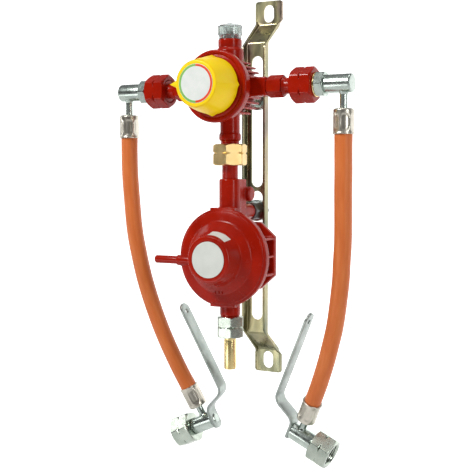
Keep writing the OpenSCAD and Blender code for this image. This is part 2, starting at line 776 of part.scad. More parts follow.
module indicator_collar()
    color(RED) at_valve()
        ring(cap_inner_r - RUN, cap_inner_r - collar_band_t, boss_h + 1, boss_h + 1 + collar_band_h);

plunger_low = boss_h + 1.1;
module indicator_plunger()
    color(NICKEL) at_valve()
        turned([[0, boss_h - 20], [plunger_stem_r, boss_h - 20], [plunger_stem_r, plunger_low],
                [plunger_disc_r, plunger_low], [plunger_disc_r, plunger_low + plunger_disc_t],
                [plunger_post_r, plunger_low + plunger_disc_t],
                [plunger_post_r, cap_inner_top - plunger_travel - 0.1],
                [0, cap_inner_top - plunger_travel - 0.1]]);

module indicator_spring()
    color(NICKEL) at_valve()
        helix(plunger_post_r + 1.2, plunger_wire_r, plunger_low + plunger_disc_t + 0.1, cap_inner_top, 4);

// ---------- hose nuts and seals ----------

// Nut about Z: shoulder at the low end, open threaded mouth at the high end
module union_nut_shape(length, relief)
    difference() {
        hexagon(union_af, 0, length);
        rod(shoulder_bore_r, -1, length + 1);
        rod(union_thread_r + 0.4, shoulder_t, relief);
        rod(union_thread_r, relief - EPS, length + 1);
        turned([[0, length - 0.8], [union_thread_r, length - 0.8],
                [union_thread_r + 1.2, length + 0.4], [0, length + 0.4]]);
        corner_marks(union_af, length / 2);
    }

module union_nut(side)
    color(RED) at_valve() on_side(side) translate([nut_outer_x, 0, 0])
        rotate([0, -90, 0]) union_nut_shape(union_len, nut_relief);

module left_union_nut() union_nut(1);
module right_union_nut() union_nut(0);

module union_seals()
    color(RUBBER) at_valve() for (side = [0, 1]) on_side(side) sideways()
        ring(collar_r - 0.5, seal_bore_r, spigot_end, collar_x);

module thrust_rings()
    color(BRASS) at_valve() for (side = [0, 1]) on_side(side) sideways()
        ring(elbow_af / 2 + 0.6, elbow_neck_r + RUN, thrust_x, hex_x);

module centre_nut()
    color(BRASS) translate([0, pipe_y, centre_nut_bottom]) rotate([0, 0, 17])
        difference() {
            hexagon(union_af, 0, centre_nut_h);
            rod(pipe_hole_r, -1, centre_nut_h + 1);
            rod(union_thread_r, pipe_collar_bottom - centre_nut_bottom - FLAT_GAP, centre_nut_h + 1);
            corner_marks(union_af, centre_nut_h * 0.58);
        }

module centre_seal()
    color(RUBBER) translate([0, pipe_y, 0])
        ring(collar_r - 0.5, pipe_bore_r, pipe_collar_top, centre_face_z);

module inlet_pipe()
    color(RED) translate([0, pipe_y, 0])
        turned([[pipe_bore_r, reg_inlet_z - pipe_socket], [pipe_r, reg_inlet_z - pipe_socket],
                [pipe_r, pipe_collar_bottom], [collar_r, pipe_collar_bottom],
                [collar_r, pipe_collar_top], [pipe_bore_r, pipe_collar_top]]);

// ---------- low-pressure regulator ----------

// Children are drawn in the regulator's frame: its axis along Y, pipe axis at y = 0
module at_regulator() translate([0, pipe_y, reg_z]) children();

// Octagonal outline of the rear plate, in X and Z
module rear_outline() {
    w = rear_w / 2;
    h = rear_h / 2;
    cut_w = 16;
    cut_h = 14;
    polygon([[w, h - cut_h], [w - cut_w, h], [cut_w - w, h], [-w, h - cut_h],
             [-w, cut_h - h], [cut_w - w, -h], [w - cut_w, -h], [w, cut_h - h]]);
}

module rear_plate() {
    translate([0, rear_y + rear_t, 0]) forwards() linear_extrude(rear_t) rear_outline();
    backwards() rod(26, bowl_back - 1, rear_y + 1);
    intersection() {
        translate([0, rear_y + 1, 0]) forwards() linear_extrude(rear_y) rear_outline();
        for (z = [-17.5, 0, 17.5])
            translate([-rear_w / 2, 0, z - 1.3]) cube([rear_w, rear_y + 1, 2.6]);
    }
    for (x = [-rear_w / 4, rear_w / 4])
        translate([x - 1.3, 6, -rear_h / 2 + 2]) cube([2.6, rear_y - 5, rear_h - 4]);
}

// Fixing pads across the rim at top and bottom, between two depths
module rim_pads(low_f, high_f)
    intersection() {
        for (side = [-1, 1])
            translate([-pad_half, -high_f, side > 0 ? pad_z - 12 : -pad_z])
                cube([2 * pad_half, high_f - low_f, 12]);
        forwards() ring(pad_z + 6, clamp_r + 4.5, low_f - 1, high_f + 1);
    }

module regulator_body_solid() {
    forwards() turned([[0, -bowl_back], [29, -bowl_back], [33, -bowl_back + 3], [40.6, -0.8],
                       [43, body_flange_f], [rim_r - 1.4, body_flange_f],
                       [rim_r - 0.8, body_flange_f + 0.6], [rim_r - 0.8, joint_y], [0, joint_y]]);
    rim_pads(body_flange_f, joint_y);
    rear_plate();
    rod(inlet_r, 30, reg_drop);
    translate([-9.5, 0, 28]) cube([19, 17, reg_drop - 28]);
    translate([0, side_boss_back, side_boss_z]) sideways()
        turned([[0, -side_boss_half], [5.5, -side_boss_half], [7.3, 1.5 - side_boss_half],
                [7.3, side_boss_half - 1.5], [5.5, side_boss_half], [0, side_boss_half]]);
    translate([0, 0, lower_stud_z - reg_z]) backwards() rod(stud_boss_r, 0, lower_boss_back);
    mirror([0, 0, 1])
        turned([[0, 30], [10, 30], [10, outlet_nut_top - 1], [outlet_thread_r, outlet_nut_top],
                [outlet_thread_r, outlet_len - 0.8], [outlet_thread_r - 0.8, outlet_len], [0, outlet_len]]);
}

// Lugs that carry the lever's pin, standing on the bowl's back wall
module pin_lugs()
    for (side = [0, 1]) mirror([side, 0, 0])
        translate([hub_half + 0.5, 0, pivot_up]) difference() {
            union() {
                translate([0, pivot_back, 0]) sideways() rod(pin_r + 1.8, 0, 3);
                translate([0, pivot_back, -pin_r - 1.8])
                    cube([3, bowl_back - bowl_wall - pivot_back + 1, 2 * pin_r + 3.6]);
            }
            translate([0, pivot_back, 0]) sideways() rod(pin_r + RUN, -1, 4);
        }

module regulator_body()
    color(RED) at_regulator() {
        difference() {
            union() {
                difference() {
                    regulator_body_solid();
                    forwards() turned([[0, -bowl_back + bowl_wall], [26, -bowl_back + bowl_wall],
                                       [30, -bowl_back + bowl_wall + 3], [36.7, -0.8], [clamp_r, 5],
                                       [clamp_r, joint_y + 1], [0, joint_y + 1]]);
                }
                // valve housing inside the bowl, below the inlet
                rod(piston_r + 3, 23.5, seat_top + 6);
            }
            rod(piston_bore_r, 22, seat_top);
            rod(pipe_r + RUN, reg_drop - pipe_socket, reg_drop + 1);
            rod(pipe_bore_r, seat_top - 1, reg_drop);
            mirror([0, 0, 1]) rod(stub_r - 1.5, 30, outlet_len + 1);
            mirror([0, 0, 1]) rod(stub_r - step + RUN, stub_top, outlet_len + 1);
            translate([0, 0, lower_stud_z - reg_z]) backwards()
                rod(lower_stud_r + RUN, lower_boss_back - stud_depth, lower_boss_back + 1);
        }
        pin_lugs();
    }

module regulator_cover()
    color(RED) at_regulator() difference() {
        union() {
            forwards() turned([
                [0, joint_y], [rim_r - 0.5, joint_y], [rim_r, joint_y + 0.5], [rim_r, cover_front_f - 1.2],
                [rim_r - 1, cover_front_f], [rim_r - 2.4, cover_front_f + 0.3],
                [rim_r - 3, cover_front_f + 1.2],
                [clamp_r + 3, cover_front_f + 2.5], [clamp_r - 4, cover_front_f + 6.3],
                [clamp_r - 6, cover_front_f + 8.2], [nose_r + 9, cover_front_f + 9.4],
                [nose_r + 7, cover_front_f + 10], [nose_r + 4.4, cover_front_f + 13],
                [nose_r + 2.4, cover_front_f + 17.6], [nose_r + 0.6, nose_y - 2.4],
                [nose_r - 0.4, nose_y - 0.6], [nose_r - 1.6, nose_y], [0, nose_y]]);
            rim_pads(joint_y, cover_front_f - 0.8);
            intersection() {
                translate([0, -vent_f, vent_z]) rotate([0, -90, 0])
                    rod(vent_boss_r, clamp_r - 4, vent_boss_x);
                translate([-rim_r - 10, -joint_y - 20, vent_z - 10]) cube([rim_r, 20, 20]);
            }
        }
        forwards() {
            rod(reg_diaphragm_r + RUN, joint_y - 1, joint_y + diaphragm_t);
            turned([[0, joint_y], [clamp_r, joint_y], [clamp_r, joint_y + 3], [clamp_r - 6, joint_y + 9.5],
                    [nose_r + 2.5, joint_y + 15], [nose_bore_r, joint_y + 20.5],
                    [nose_bore_r, adjuster_f], [0, adjuster_f]]);
            rod(rating_r + RUN, nose_y - 0.5, nose_y + 1);
        }
        translate([0, -vent_f, vent_z]) rotate([0, -90, 0]) {
            rod(vent_r - step + RUN, vent_root, vent_boss_x + 1);
            rod(1.2, clamp_r - 8, rim_r);
        }
    }

module rating_plate()
    color(PALE) at_regulator() forwards() rod(rating_r, nose_y - 0.5, nose_y + 0.1);

module regulator_diaphragm()
    color(RUBBER) at_regulator() forwards()
        ring(reg_diaphragm_r, stem_r + LOOSE, joint_y, plate_front_f);

// Plate on the diaphragm; its stem has a neck that the lever's fork holds
module regulator_plate()
    color(ZINC) at_regulator() forwards() {
        turned([[0, -pivot_back - 2.6], [stem_r, -pivot_back - 2.6], [stem_r, -pivot_back - 1.6],
                [1.3, -pivot_back - 1.6], [1.3, -pivot_back + 1.5], [stem_r, -pivot_back + 1.5],
                [stem_r, plate_front_f], [reg_plate_r, plate_front_f],
                [reg_plate_r, plate_front_f + reg_plate_t], [6, plate_front_f + reg_plate_t],
                [6, plate_front_f + reg_plate_t + 2], [0, plate_front_f + reg_plate_t + 2]]);
    }

module regulator_spring()
    color(NICKEL) at_regulator() forwards()
        helix(12, reg_wire_r, plate_front_f + reg_plate_t,
              adjuster_f - adjuster_t - diaphragm_travel - 0.1, 6);

module spring_adjuster()
    color(BRASS) at_regulator() forwards() difference() {
        rod(nose_bore_r - RUN, adjuster_f - adjuster_t, adjuster_f);
        translate([0, 0, adjuster_f - adjuster_t - 1]) cylinder(r = 5, h = adjuster_t, $fn = 6);
    }

// Bell crank: long arm down to the stem, short arm into the piston
module valve_lever()
    color(ZINC) at_regulator() difference() {
        union() {
            translate([0, pivot_back, pivot_up]) sideways() rod(lever_hub_r, -hub_half, hub_half);
            translate([-3.5, pivot_back - arm_t / 2, -3]) cube([7, arm_t, pivot_up + 3]);
            translate([-3.5, -1.5, pivot_up - arm_t / 2]) cube([7, pivot_back + 1.5, arm_t]);
        }
        translate([0, pivot_back, pivot_up]) sideways() rod(pin_r + RUN, -hub_half - 1, hub_half + 1);
        translate([-1.7, pivot_back - 2, -4]) cube([3.4, 4, 6]);
    }

module lever_pin()
    color(ZINC) at_regulator() translate([0, pivot_back, pivot_up]) sideways()
        rod(pin_r, -hub_half - 3.5, hub_half + 3.5);

module valve_piston()
    color(BRASS) at_regulator() difference() {
        rod(piston_r, piston_bottom, piston_top);
        translate([-10, -2.5, slot_low]) cube([20, 20, slot_high - slot_low]);
        translate([-10, 2, piston_bottom - 1]) cube([20, 20, slot_high - piston_bottom + 1]);
    }

module valve_seat()
    color(BRASS) at_regulator() ring(piston_r, 1.5, seat_bottom, seat_top);

module vent_tube()
    color(RED) at_regulator() translate([0, -vent_f, vent_z]) rotate([0, -90, 0])
        turned([[vent_r / 2, vent_root], [vent_r - step, vent_root], [vent_r - step, vent_boss_x],
                [vent_r, vent_boss_x], [vent_r, vent_reach - 0.6],
                [vent_r - 0.6, vent_reach], [vent_r / 2, vent_reach]]);

module outlet_nut()
    color(ZINC) at_regulator() mirror([0, 0, 1]) rotate([0, 0, 3]) difference() {
        hexagon(outlet_af, outlet_nut_top, outlet_nut_bottom);
        rod(stub_r + LOOSE, outlet_nut_top - 1, outlet_nut_bottom + 1);
        rod(outlet_thread_r + RUN, outlet_nut_top - 1, ring_bottom + FLAT_GAP);
        corner_marks(outlet_af, (outlet_nut_top + outlet_nut_bottom) / 2);
    }

module outlet_stub()
    color(BRASS) at_regulator() mirror([0, 0, 1])
        turned([[stub_r - 1.5, stub_top], [stub_r - step, stub_top], [stub_r - step, outlet_nut_bottom],
                [stub_r, outlet_nut_bottom], [stub_r, stub_bottom - 0.5],
                [stub_r - 0.5, stub_bottom], [stub_r - 1.5, stub_bottom]]);

module compression_ring()
    color(BRASS) at_regulator() mirror([0, 0, 1])
        turned([[stub_r - step + RUN, ring_top], [stub_r + 1, ring_top],
                [outlet_thread_r - 0.5, ring_top + 2.5],
                [outlet_thread_r - 0.5, ring_bottom - 1], [stub_r + 1, ring_bottom],
                [stub_r - step + RUN, ring_bottom]]);

// ---------- hoses ----------

module top_elbow(side)
    color(ZINC) at_valve() on_side(side) difference() {
        union() {
            sideways() {
                rod(collar_r, collar_x, collar_x + collar_t);
                rod(elbow_neck_r, collar_x, hex_x + 1);
                hexagon(elbow_af, hex_x, hex_x + hex_len);
                turned([[0, hex_x], [elbow_r, hex_x], [elbow_r, elbow_end_x - 1.5],
                        [elbow_r - 1.5, elbow_end_x], [0, elbow_end_x]]);
            }
            translate([arm_reach, 0, 0]) mirror([0, 0, 1]) elbow_tail(ferrule_drop);
        }
        sideways() rod(elbow_bore_r, collar_x - 1, arm_reach);
        translate([arm_reach, 0, 0]) mirror([0, 0, 1])
            rod(tube_bore_r, 0, ferrule_drop + ferrule_len);
    }

// Thin tube and hose nipple along +Z, from an elbow's axis through a ferrule that starts at drop
module elbow_tail(drop) {
    rod(elbow_tube_r, 0, drop + ferrule_wall_end + 0.5);
    rod(tail_r, drop + ferrule_wall_end, drop + ferrule_len - 2);
}

// Crimped sleeve along +Z: closed end first, mouth with a lip last
module ferrule_shape()
    difference() {
        union() {
            intersection() {
                rod(ferrule_r, 0, ferrule_len);
                rotate([0, 0, 22.5]) cylinder(r = ferrule_r / cos(22.5) * 0.985, h = ferrule_len, $fn = 8);
            }
            turned([[0, 0.4], [ferrule_r - 1, 0.4], [ferrule_r, 1.4], [ferrule_r, 3], [0, 3]]);
            ring(ferrule_r + 0.5, hose_r, ferrule_len - 1.6, ferrule_len);
        }
        rod(elbow_tube_r + RUN, -1, ferrule_len);
        rod(ferrule_bore_r, ferrule_wall_end, ferrule_len + 1);
    }

module top_ferrule(side)
    color(NICKEL) at_valve() on_side(side)
        translate([arm_reach, 0, -ferrule_drop]) mirror([0, 0, 1]) ferrule_shape();

// Lower end of the right hose: +Z back along the hose, +X outwards and down, origin at the mouth
module at_hose_end(side) on_side(side) translate(HOSE_END) rotate([end_lean, end_tilt, 0]) children();

module hose(side)
    color(ORANGE) on_side(side) {
        start = [HOSE_POINTS[0] + [0, 0, tail_depth]];
        finish = [HOSE_END + tail_depth * END_TANGENT];
        hose_tube(concat(start, HOSE_POINTS, finish), [0, 0, -1], END_TANGENT,
                  hose_r, hose_bore_r, HOSE_SIDES);
    }

module bottom_ferrule(side)
    color(NICKEL) at_hose_end(side) translate([0, 0, -ferrule_len]) ferrule_shape();

module bottom_elbow(side)
    color(ZINC) at_hose_end(side) translate([0, 0, -lower_axis]) difference() {
        union() {
            sideways() {
                turned([[0, -lower_elbow_back], [elbow_r, -lower_elbow_back],
                        [elbow_r, lower_nut_x - LOOSE - 1],
                        [elbow_r - 0.8, lower_nut_x - LOOSE], [elbow_neck_r, lower_nut_x - LOOSE],
                        [elbow_neck_r, lower_collar_x], [collar_r, lower_collar_x],
                        [collar_r, lower_seal_x], [0, lower_seal_x]]);
                rod(rivet_r, -lower_elbow_back - lever_t, -lower_elbow_back + 1);
                turned([[0, -lower_elbow_back - lever_t - rivet_h],
                        [rivet_r, -lower_elbow_back - lever_t - rivet_h],
                        [rivet_r + 1.4, -lower_elbow_back - lever_t],
                        [0, -lower_elbow_back - lever_t]]);
            }
            elbow_tail(lower_axis - ferrule_len);
        }
        sideways() rod(elbow_bore_r, 0, lower_nut_x + union_len);
        rod(tube_bore_r, 0, lower_axis);
    }

// Centre line of the lever's strip in the elbow's X and Z, with rounded bends
LEVER_PATH = [
    [0, -lever_disc_r - 1], [0, 8], [-1.2, 12], [-4, 15],
    [4 - lever_offset, lever_start - 3], [1.2 - lever_offset, lever_start + 1],
    [-lever_offset, lever_start + 6], [-lever_offset, lever_h]
];

// Offset of point i of a path to one side
function strip_point(path, i, half) =
    let (a = path[max(i - 1, 0)], b = path[min(i + 1, len(path) - 1)], d = unit(b - a))
    path[i] + half * [d[1], -d[0]];

module lever_strip() {
    n = len(LEVER_PATH);
    right = [for (i = [0:n - 1]) strip_point(LEVER_PATH, i, lever_t / 2)];
    left = [for (i = [n - 1:-1:0]) strip_point(LEVER_PATH, i, -lever_t / 2)];
    polygon(concat(right, left));
}

module lever(side)
    color(ZINC) at_hose_end(side)
        translate([-lower_elbow_back - lever_t / 2, 0, -lower_axis]) rotate([-lever_swing, 0, 0])
            difference() {
                intersection() {
                    translate([0, lever_disc_r + 1, 0]) forwards()
                        linear_extrude(2 * lever_disc_r + 2) lever_strip();
                    union() {
                        translate([-cut_reach, 0, 0]) sideways() rod(lever_disc_r, 0, cut_length);
                        translate([-cut_reach, -lever_w / 2, 0])
                            cube([cut_length, lever_w, lever_h - lever_w / 2]);
                        translate([-cut_reach, 0, lever_h - lever_w / 2]) sideways()
                            rod(lever_w / 2, 0, cut_length);
                    }
                }
                translate([-cut_reach, 0, lever_h - 9]) sideways() rod(lever_hole_r, 0, cut_length);
                sideways() rod(rivet_r + RUN, -lever_t, lever_t);
            }

module cylinder_nut(side)
    color(ZINC) at_hose_end(side) translate([lower_nut_x, 0, -lower_axis])
        sideways() rotate([0, 0, 20]) union_nut_shape(union_len, lower_nut_relief);

module cylinder_seals()
    color(RUBBER) for (side = [0, 1]) at_hose_end(side) translate([0, 0, -lower_axis]) sideways()
        ring(collar_r - 0.4, seal_bore_r, lower_seal_x, lower_seal_x + lower_seal_t);

module left_top_elbow() top_elbow(1);
module right_top_elbow() top_elbow(0);
module left_top_ferrule() top_ferrule(1);
module right_top_ferrule() top_ferrule(0);
module left_hose() hose(1);
module right_hose() hose(0);
module left_bottom_ferrule() bottom_ferrule(1);
module right_bottom_ferrule() bottom_ferrule(0);
module left_bottom_elbow() bottom_elbow(1);
module right_bottom_elbow() bottom_elbow(0);
module left_lever() lever(1);
module right_lever() lever(0);
module left_cylinder_nut() cylinder_nut(1);
module right_cylinder_nut() cylinder_nut(0);

bracket();
mounting_studs();
upper_stud_nuts();
lower_stud_nuts();
stud_washers();
valve_body();
valve_bonnet();
valve_diaphragm();
valve_plate();
valve_spring();
left_inlet_fitting();
right_inlet_fitting();
left_poppet();
right_poppet();
poppet_springs();
changeover_knob();
knob_face();
knob_spindle();
indicator_cap();
indicator_collar();
indicator_plunger();
indicator_spring();
left_union_nut();
right_union_nut();
union_seals();
thrust_rings();
centre_nut();
centre_seal();
inlet_pipe();
regulator_body();
regulator_cover();
rating_plate();
regulator_diaphragm();
regulator_plate();
regulator_spring();
spring_adjuster();
valve_lever();
lever_pin();
valve_piston();
valve_seat();
vent_tube();
outlet_nut();
outlet_stub();
compression_ring();
left_top_elbow();
right_top_elbow();
left_top_ferrule();
right_top_ferrule();
left_hose();
right_hose();
left_bottom_ferrule();
right_bottom_ferrule();
left_bottom_elbow();
right_bottom_elbow();
left_lever();
right_lever();
left_cylinder_nut();
right_cylinder_nut();
cylinder_seals();
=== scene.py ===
"""Two-cylinder changeover gas regulator on its wall bracket, dressed for rendering.

Every size is in millimetres in the row frame: the origin is the centre of the two wall slots on the
wall, +Z is up and -Y points away from the wall. Meshes are turned into metres when they are made.
"""

import logging
import math
from dataclasses import dataclass, field
from enum import Enum
from typing import Callable, Optional, Sequence

import bpy
import numpy as np
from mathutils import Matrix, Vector


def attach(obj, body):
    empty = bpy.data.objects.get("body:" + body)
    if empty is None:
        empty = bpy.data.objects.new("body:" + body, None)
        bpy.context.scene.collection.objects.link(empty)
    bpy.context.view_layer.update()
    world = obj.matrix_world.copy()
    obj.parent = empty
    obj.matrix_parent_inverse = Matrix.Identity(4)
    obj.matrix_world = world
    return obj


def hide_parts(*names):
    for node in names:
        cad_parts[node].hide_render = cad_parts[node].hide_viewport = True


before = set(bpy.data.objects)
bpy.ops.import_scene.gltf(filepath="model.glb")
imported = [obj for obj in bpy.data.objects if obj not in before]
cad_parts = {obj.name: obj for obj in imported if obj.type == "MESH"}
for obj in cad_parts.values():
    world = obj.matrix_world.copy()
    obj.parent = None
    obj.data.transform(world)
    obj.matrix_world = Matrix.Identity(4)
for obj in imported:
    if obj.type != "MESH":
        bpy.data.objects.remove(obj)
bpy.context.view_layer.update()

logging.basicConfig(level=logging.INFO, format="%(message)s")
LOG = logging.getLogger("gas_regulator")

METRE = 0.001
# Degrees by which these nuts' flats stand turned at rest
CENTRE_NUT_TURN = 43
OUTLET_NUT_TURN = -3
PIPE_Y = -85.0
VALVE_Z = 99.0
REGULATOR_Z = -65.5
BODY = "frame"


# ---------------------------------------------------------------- placing and shells


@dataclass(frozen=True)
class Placing:
    """A local frame: its origin and its three axes, as rows, in the row frame."""

    origin: tuple[float, float, float] = (0.0, 0.0, 0.0)
    axes: tuple[tuple[float, float, float], ...] = ((1, 0, 0), (0, 1, 0), (0, 0, 1))

    def to_row(self, points: np.ndarray) -> np.ndarray:
        """Local points as points of the row frame: origin + x*ex + y*ey + z*ez."""
        return np.asarray(points, float) @ np.array(self.axes, float) + np.array(self.origin, float)

    def within(self, outer: "Placing") -> "Placing":
        """This placing when its own numbers are counted in another one's frame."""
        axes = np.array(self.axes, float) @ np.array(outer.axes, float)
        origin = outer.to_row(np.array(self.origin, float))
        return Placing(tuple(origin), tuple(map(tuple, axes)))

    def turned(self, degrees: float) -> "Placing":
        """This placing turned about its own third axis."""
        c, s = math.cos(math.radians(degrees)), math.sin(math.radians(degrees))
        return Placing(axes=((c, s, 0), (-s, c, 0), (0, 0, 1))).within(self)

    def mirrored(self) -> "Placing":
        """This placing reflected to the other side of the plane X = 0."""
        axes = tuple((-a[0], a[1], a[2]) for a in self.axes)
        return Placing((-self.origin[0], self.origin[1], self.origin[2]), axes)


class Side(Enum):
    """The two sides of the set, as seen from the front."""

    LEFT = "left"
    RIGHT = "right"

    def place(self, placing: Placing) -> Placing:
        """A placing drawn for the right, put on this side."""
        return placing.mirrored() if self is Side.LEFT else placing


def forwards(x: float, y: float, z: float) -> Placing:
    """Local z away from the wall and local y up."""
    return Placing((x, y, z), ((1, 0, 0), (0, 0, 1), (0, -1, 0)))


def backwards(x: float, y: float, z: float) -> Placing:
    """Local z towards the wall and local y down."""
    return Placing((x, y, z), ((1, 0, 0), (0, 0, -1), (0, 1, 0)))


def sideways(x: float, y: float, z: float) -> Placing:
    """Local z to the right and local x down."""
    return Placing((x, y, z), ((0, 0, -1), (0, 1, 0), (1, 0, 0)))


def upwards(x: float, y: float, z: float) -> Placing:
    """Local axes along the row's own."""
    return Placing((x, y, z))


def downwards(x: float, y: float, z: float) -> Placing:
    """Local z down and local x to the right."""
    return Placing((x, y, z), ((1, 0, 0), (0, -1, 0), (0, 0, -1)))


def circle(count: int) -> np.ndarray:
    """Angles of evenly spaced points round a circle, in radians."""
    return np.arange(count) * (2 * np.pi / count)


def ring_stack(radius: np.ndarray, height: np.ndarray, angles: np.ndarray) -> np.ndarray:
    """Rings of points (r cos a, r sin a, h), with one radius for a ring or one for each angle."""
    x, y = radius * np.cos(angles), radius * np.sin(angles)
    return np.stack([x, y, np.broadcast_to(height.reshape(-1, 1), x.shape)], -1)


def hexagon_radius(across: float, angles: np.ndarray, turn: float = 0.0) -> np.ndarray:
    """Polar radius of a hexagon: half its width over the cosine of the angle from the nearest flat."""
    off = (angles - math.radians(turn) + np.pi / 6) % (np.pi / 3) - np.pi / 6
    return across / 2 / np.cos(off)


def rounded_path(points: Sequence[Sequence[float]], radius: float, steps: int = 5) -> np.ndarray:
    """A path with its corners rounded.

    Each corner becomes a quadratic curve (1-t)^2 a + 2t(1-t) b + t^2 c between points a and c on its
    two sides, at most radius away from it.

    Args:
        points: the corners, in order.
        radius: how far from a corner its curve may start.
        steps: points on each curve.

    Returns:
        The points of the rounded path.
    """
    pts = np.array(points, float)
    t = np.linspace(0, 1, steps)[:, None]
    out = [pts[:1]]
    for before, corner, after in zip(pts[:-2], pts[1:-1], pts[2:]):
        into, away = before - corner, after - corner
        cut = min(radius, np.linalg.norm(into) * 0.45, np.linalg.norm(away) * 0.45)
        a = corner + into / np.linalg.norm(into) * cut
        c = corner + away / np.linalg.norm(away) * cut
        out.append((1 - t) ** 2 * a + 2 * t * (1 - t) * corner + t**2 * c)
    out.append(pts[-1:])
    return np.vstack(out)


class Draft:
    """The closed shells of one piece, collected before its mesh is made."""

    def __init__(self, name: str) -> None:
        """Starts an empty piece of that name."""
        self.name = name
        self.points: list[np.ndarray] = []
        self.quads: list[np.ndarray] = []
        self.fans: list[np.ndarray] = []
        self.count = 0

    def rings(self, rings: np.ndarray, placing: Placing = Placing(), joined: bool = False) -> "Draft":
        """Adds a closed shell through a stack of rings.

        The surface is P(i, j), ring i and place j round it. The first and last rings are closed by
        a fan to their middle, or joined to each other.

        Args:
            rings: an array of rings by places by 3, in local millimetres.
            placing: where the shell goes.
            joined: whether the last ring is joined to the first, as in a hollow turned part.

        Returns:
            This draft.
        """
        rows, cols = rings.shape[:2]
        points = placing.to_row(rings.reshape(-1, 3))
        i = np.arange(rows if joined else rows - 1)[:, None]
        j = np.arange(cols)[None, :]
        nxt, right = (i + 1) % rows, (j + 1) % cols
        quads = np.stack([i * cols + j, i * cols + right, nxt * cols + right, nxt * cols + j], -1)
        quads = quads.reshape(-1, 4)
        fans = np.zeros((0, 3), int)
        if not joined:
            ends = placing.to_row(np.stack([rings[0].mean(0), rings[-1].mean(0)]))
            points = np.vstack([points, ends])
            low, high = rows * cols, rows * cols + 1
            a, b = np.arange(cols), (np.arange(cols) + 1) % cols
            last = (rows - 1) * cols
            fans = np.vstack([
                np.stack([np.full(cols, low), b, a], -1),
                np.stack([np.full(cols, high), last + a, last + b], -1),
            ])
        corner = points[quads]
        volume = np.einsum("ij,ij->i", corner[:, 0], np.cross(corner[:, 1], corner[:, 2])).sum()
        volume += np.einsum("ij,ij->i", corner[:, 0], np.cross(corner[:, 2], corner[:, 3])).sum()
        if len(fans):
            tri = points[fans]
            volume += np.einsum("ij,ij->i", tri[:, 0], np.cross(tri[:, 1], tri[:, 2])).sum()
        if volume < 0:
            quads, fans = quads[:, ::-1], fans[:, ::-1]
        self.points.append(points)
        self.quads.append(quads + self.count)
        self.fans.append(fans + self.count)
        self.count += len(points)
        return self

    def turned(
        self,
        profile: Sequence[Sequence[float]],
        placing: Placing,
        limit: Optional[np.ndarray] = None,
        sides: int = 96,
        hollow: bool = False,
    ) -> "Draft":
        """Adds a turned shell, which flats may cut.

        The surface is (r cos a, r sin a, h) with r = min(profile radius, limit(a)).

        Args:
            profile: radius and height pairs, from the low end up the outside.
            placing: where the turning axis goes.
            limit: the largest radius at each of the angles, such as a hexagon's.
            sides: points round the circle.
            hollow: whether the profile closes on itself, down a bore.

        Returns:
            This draft.
        """
        angles = circle(sides)
        prof = np.array(profile, float)
        radius = prof[:, :1] if limit is None else np.minimum(prof[:, :1], limit[None, :])
        return self.rings(ring_stack(radius, prof[:, 1], angles), placing, joined=hollow)

    def hexagonal(
        self, profile: np.ndarray, across: float, placing: Placing, turn: float = 30.0
    ) -> "Draft":
        """Adds a hollow turned shell that six flats cut, so many millimetres apart."""
        return self.turned(profile, placing, hexagon_radius(across, circle(144), turn), 144, hollow=True)

    def prism(
        self, outline: np.ndarray, low: float, high: float, placing: Placing, edge: float = 0.5
    ) -> "Draft":
        """Adds a convex plate with rounded rims.

        The outline is carried up local z. Near each end it is drawn in along its own normals by
        edge*(1 - sin t) while its height is edge*(1 - cos t) from that end.

        Args:
            outline: the plate's corners in local x and y, in order round it.
            low: height of one face.
            high: height of the other.
            placing: where the plate goes.
            edge: radius of the rims.

        Returns:
            This draft.
        """
        ahead, behind = np.roll(outline, -1, 0) - outline, outline - np.roll(outline, 1, 0)
        ahead /= np.linalg.norm(ahead, axis=1)[:, None] + 1e-9
        behind /= np.linalg.norm(behind, axis=1)[:, None] + 1e-9
        normal = np.stack([(ahead + behind)[:, 1], -(ahead + behind)[:, 0]], -1)
        normal /= np.linalg.norm(normal, axis=1)[:, None] + 1e-9
        if ((outline - outline.mean(0)) * normal).sum() < 0:
            normal = -normal
        t = np.linspace(0, np.pi / 2, 4)
        inset = edge * np.concatenate([1 - np.sin(t), (1 - np.sin(t))[::-1]])
        height = np.concatenate([low + edge * (1 - np.cos(t)), high - edge * (1 - np.cos(t))[::-1]])
        flat = outline[None] - normal[None] * inset[:, None, None]
        rings = np.concatenate([flat, np.repeat(height[:, None, None], len(outline), 1)], -1)
        return self.rings(rings, placing)

    def block(self, low: Sequence[float], high: Sequence[float], edge: float = 0.5) -> "Draft":
        """Adds a box with rounded edges between two corners in the row frame."""
        a, b = np.array(low, float), np.array(high, float)
        return self.prism(
            rounded_rectangle(b[0] - a[0], b[1] - a[1], edge) + [(a[0] + b[0]) / 2, (a[1] + b[1]) / 2],
            a[2], b[2], Placing(), edge,
        )

    def make(self, sharp: float = 35.0) -> bpy.types.Object:
        """The finished object, in metres, at the origin.

        Args:
            sharp: edges that turn by more than this angle, in degrees, stay sharp.

        Returns:
            The object, linked to the scene.
        """
        points = np.vstack(self.points) * METRE
        quads, fans = np.vstack(self.quads), np.vstack(self.fans)
        mesh = bpy.data.meshes.new(self.name)
        mesh.vertices.add(len(points))
        mesh.vertices.foreach_set("co", points.ravel())
        loops = np.concatenate([quads.ravel(), fans.ravel()])
        mesh.loops.add(len(loops))
        mesh.loops.foreach_set("vertex_index", loops.astype(np.int32))
        starts = np.concatenate([
            np.arange(len(quads)) * 4, len(quads) * 4 + np.arange(len(fans)) * 3
        ])
        mesh.polygons.add(len(starts))
        mesh.polygons.foreach_set("loop_start", starts.astype(np.int32))
        mesh.update(calc_edges=True)
        mesh.validate()
        mesh.polygons.foreach_set("use_smooth", np.ones(len(mesh.polygons), bool))
        mesh.set_sharp_from_angle(angle=math.radians(sharp))
        obj = bpy.data.objects.new(self.name, mesh)
        bpy.context.scene.collection.objects.link(obj)
        return obj


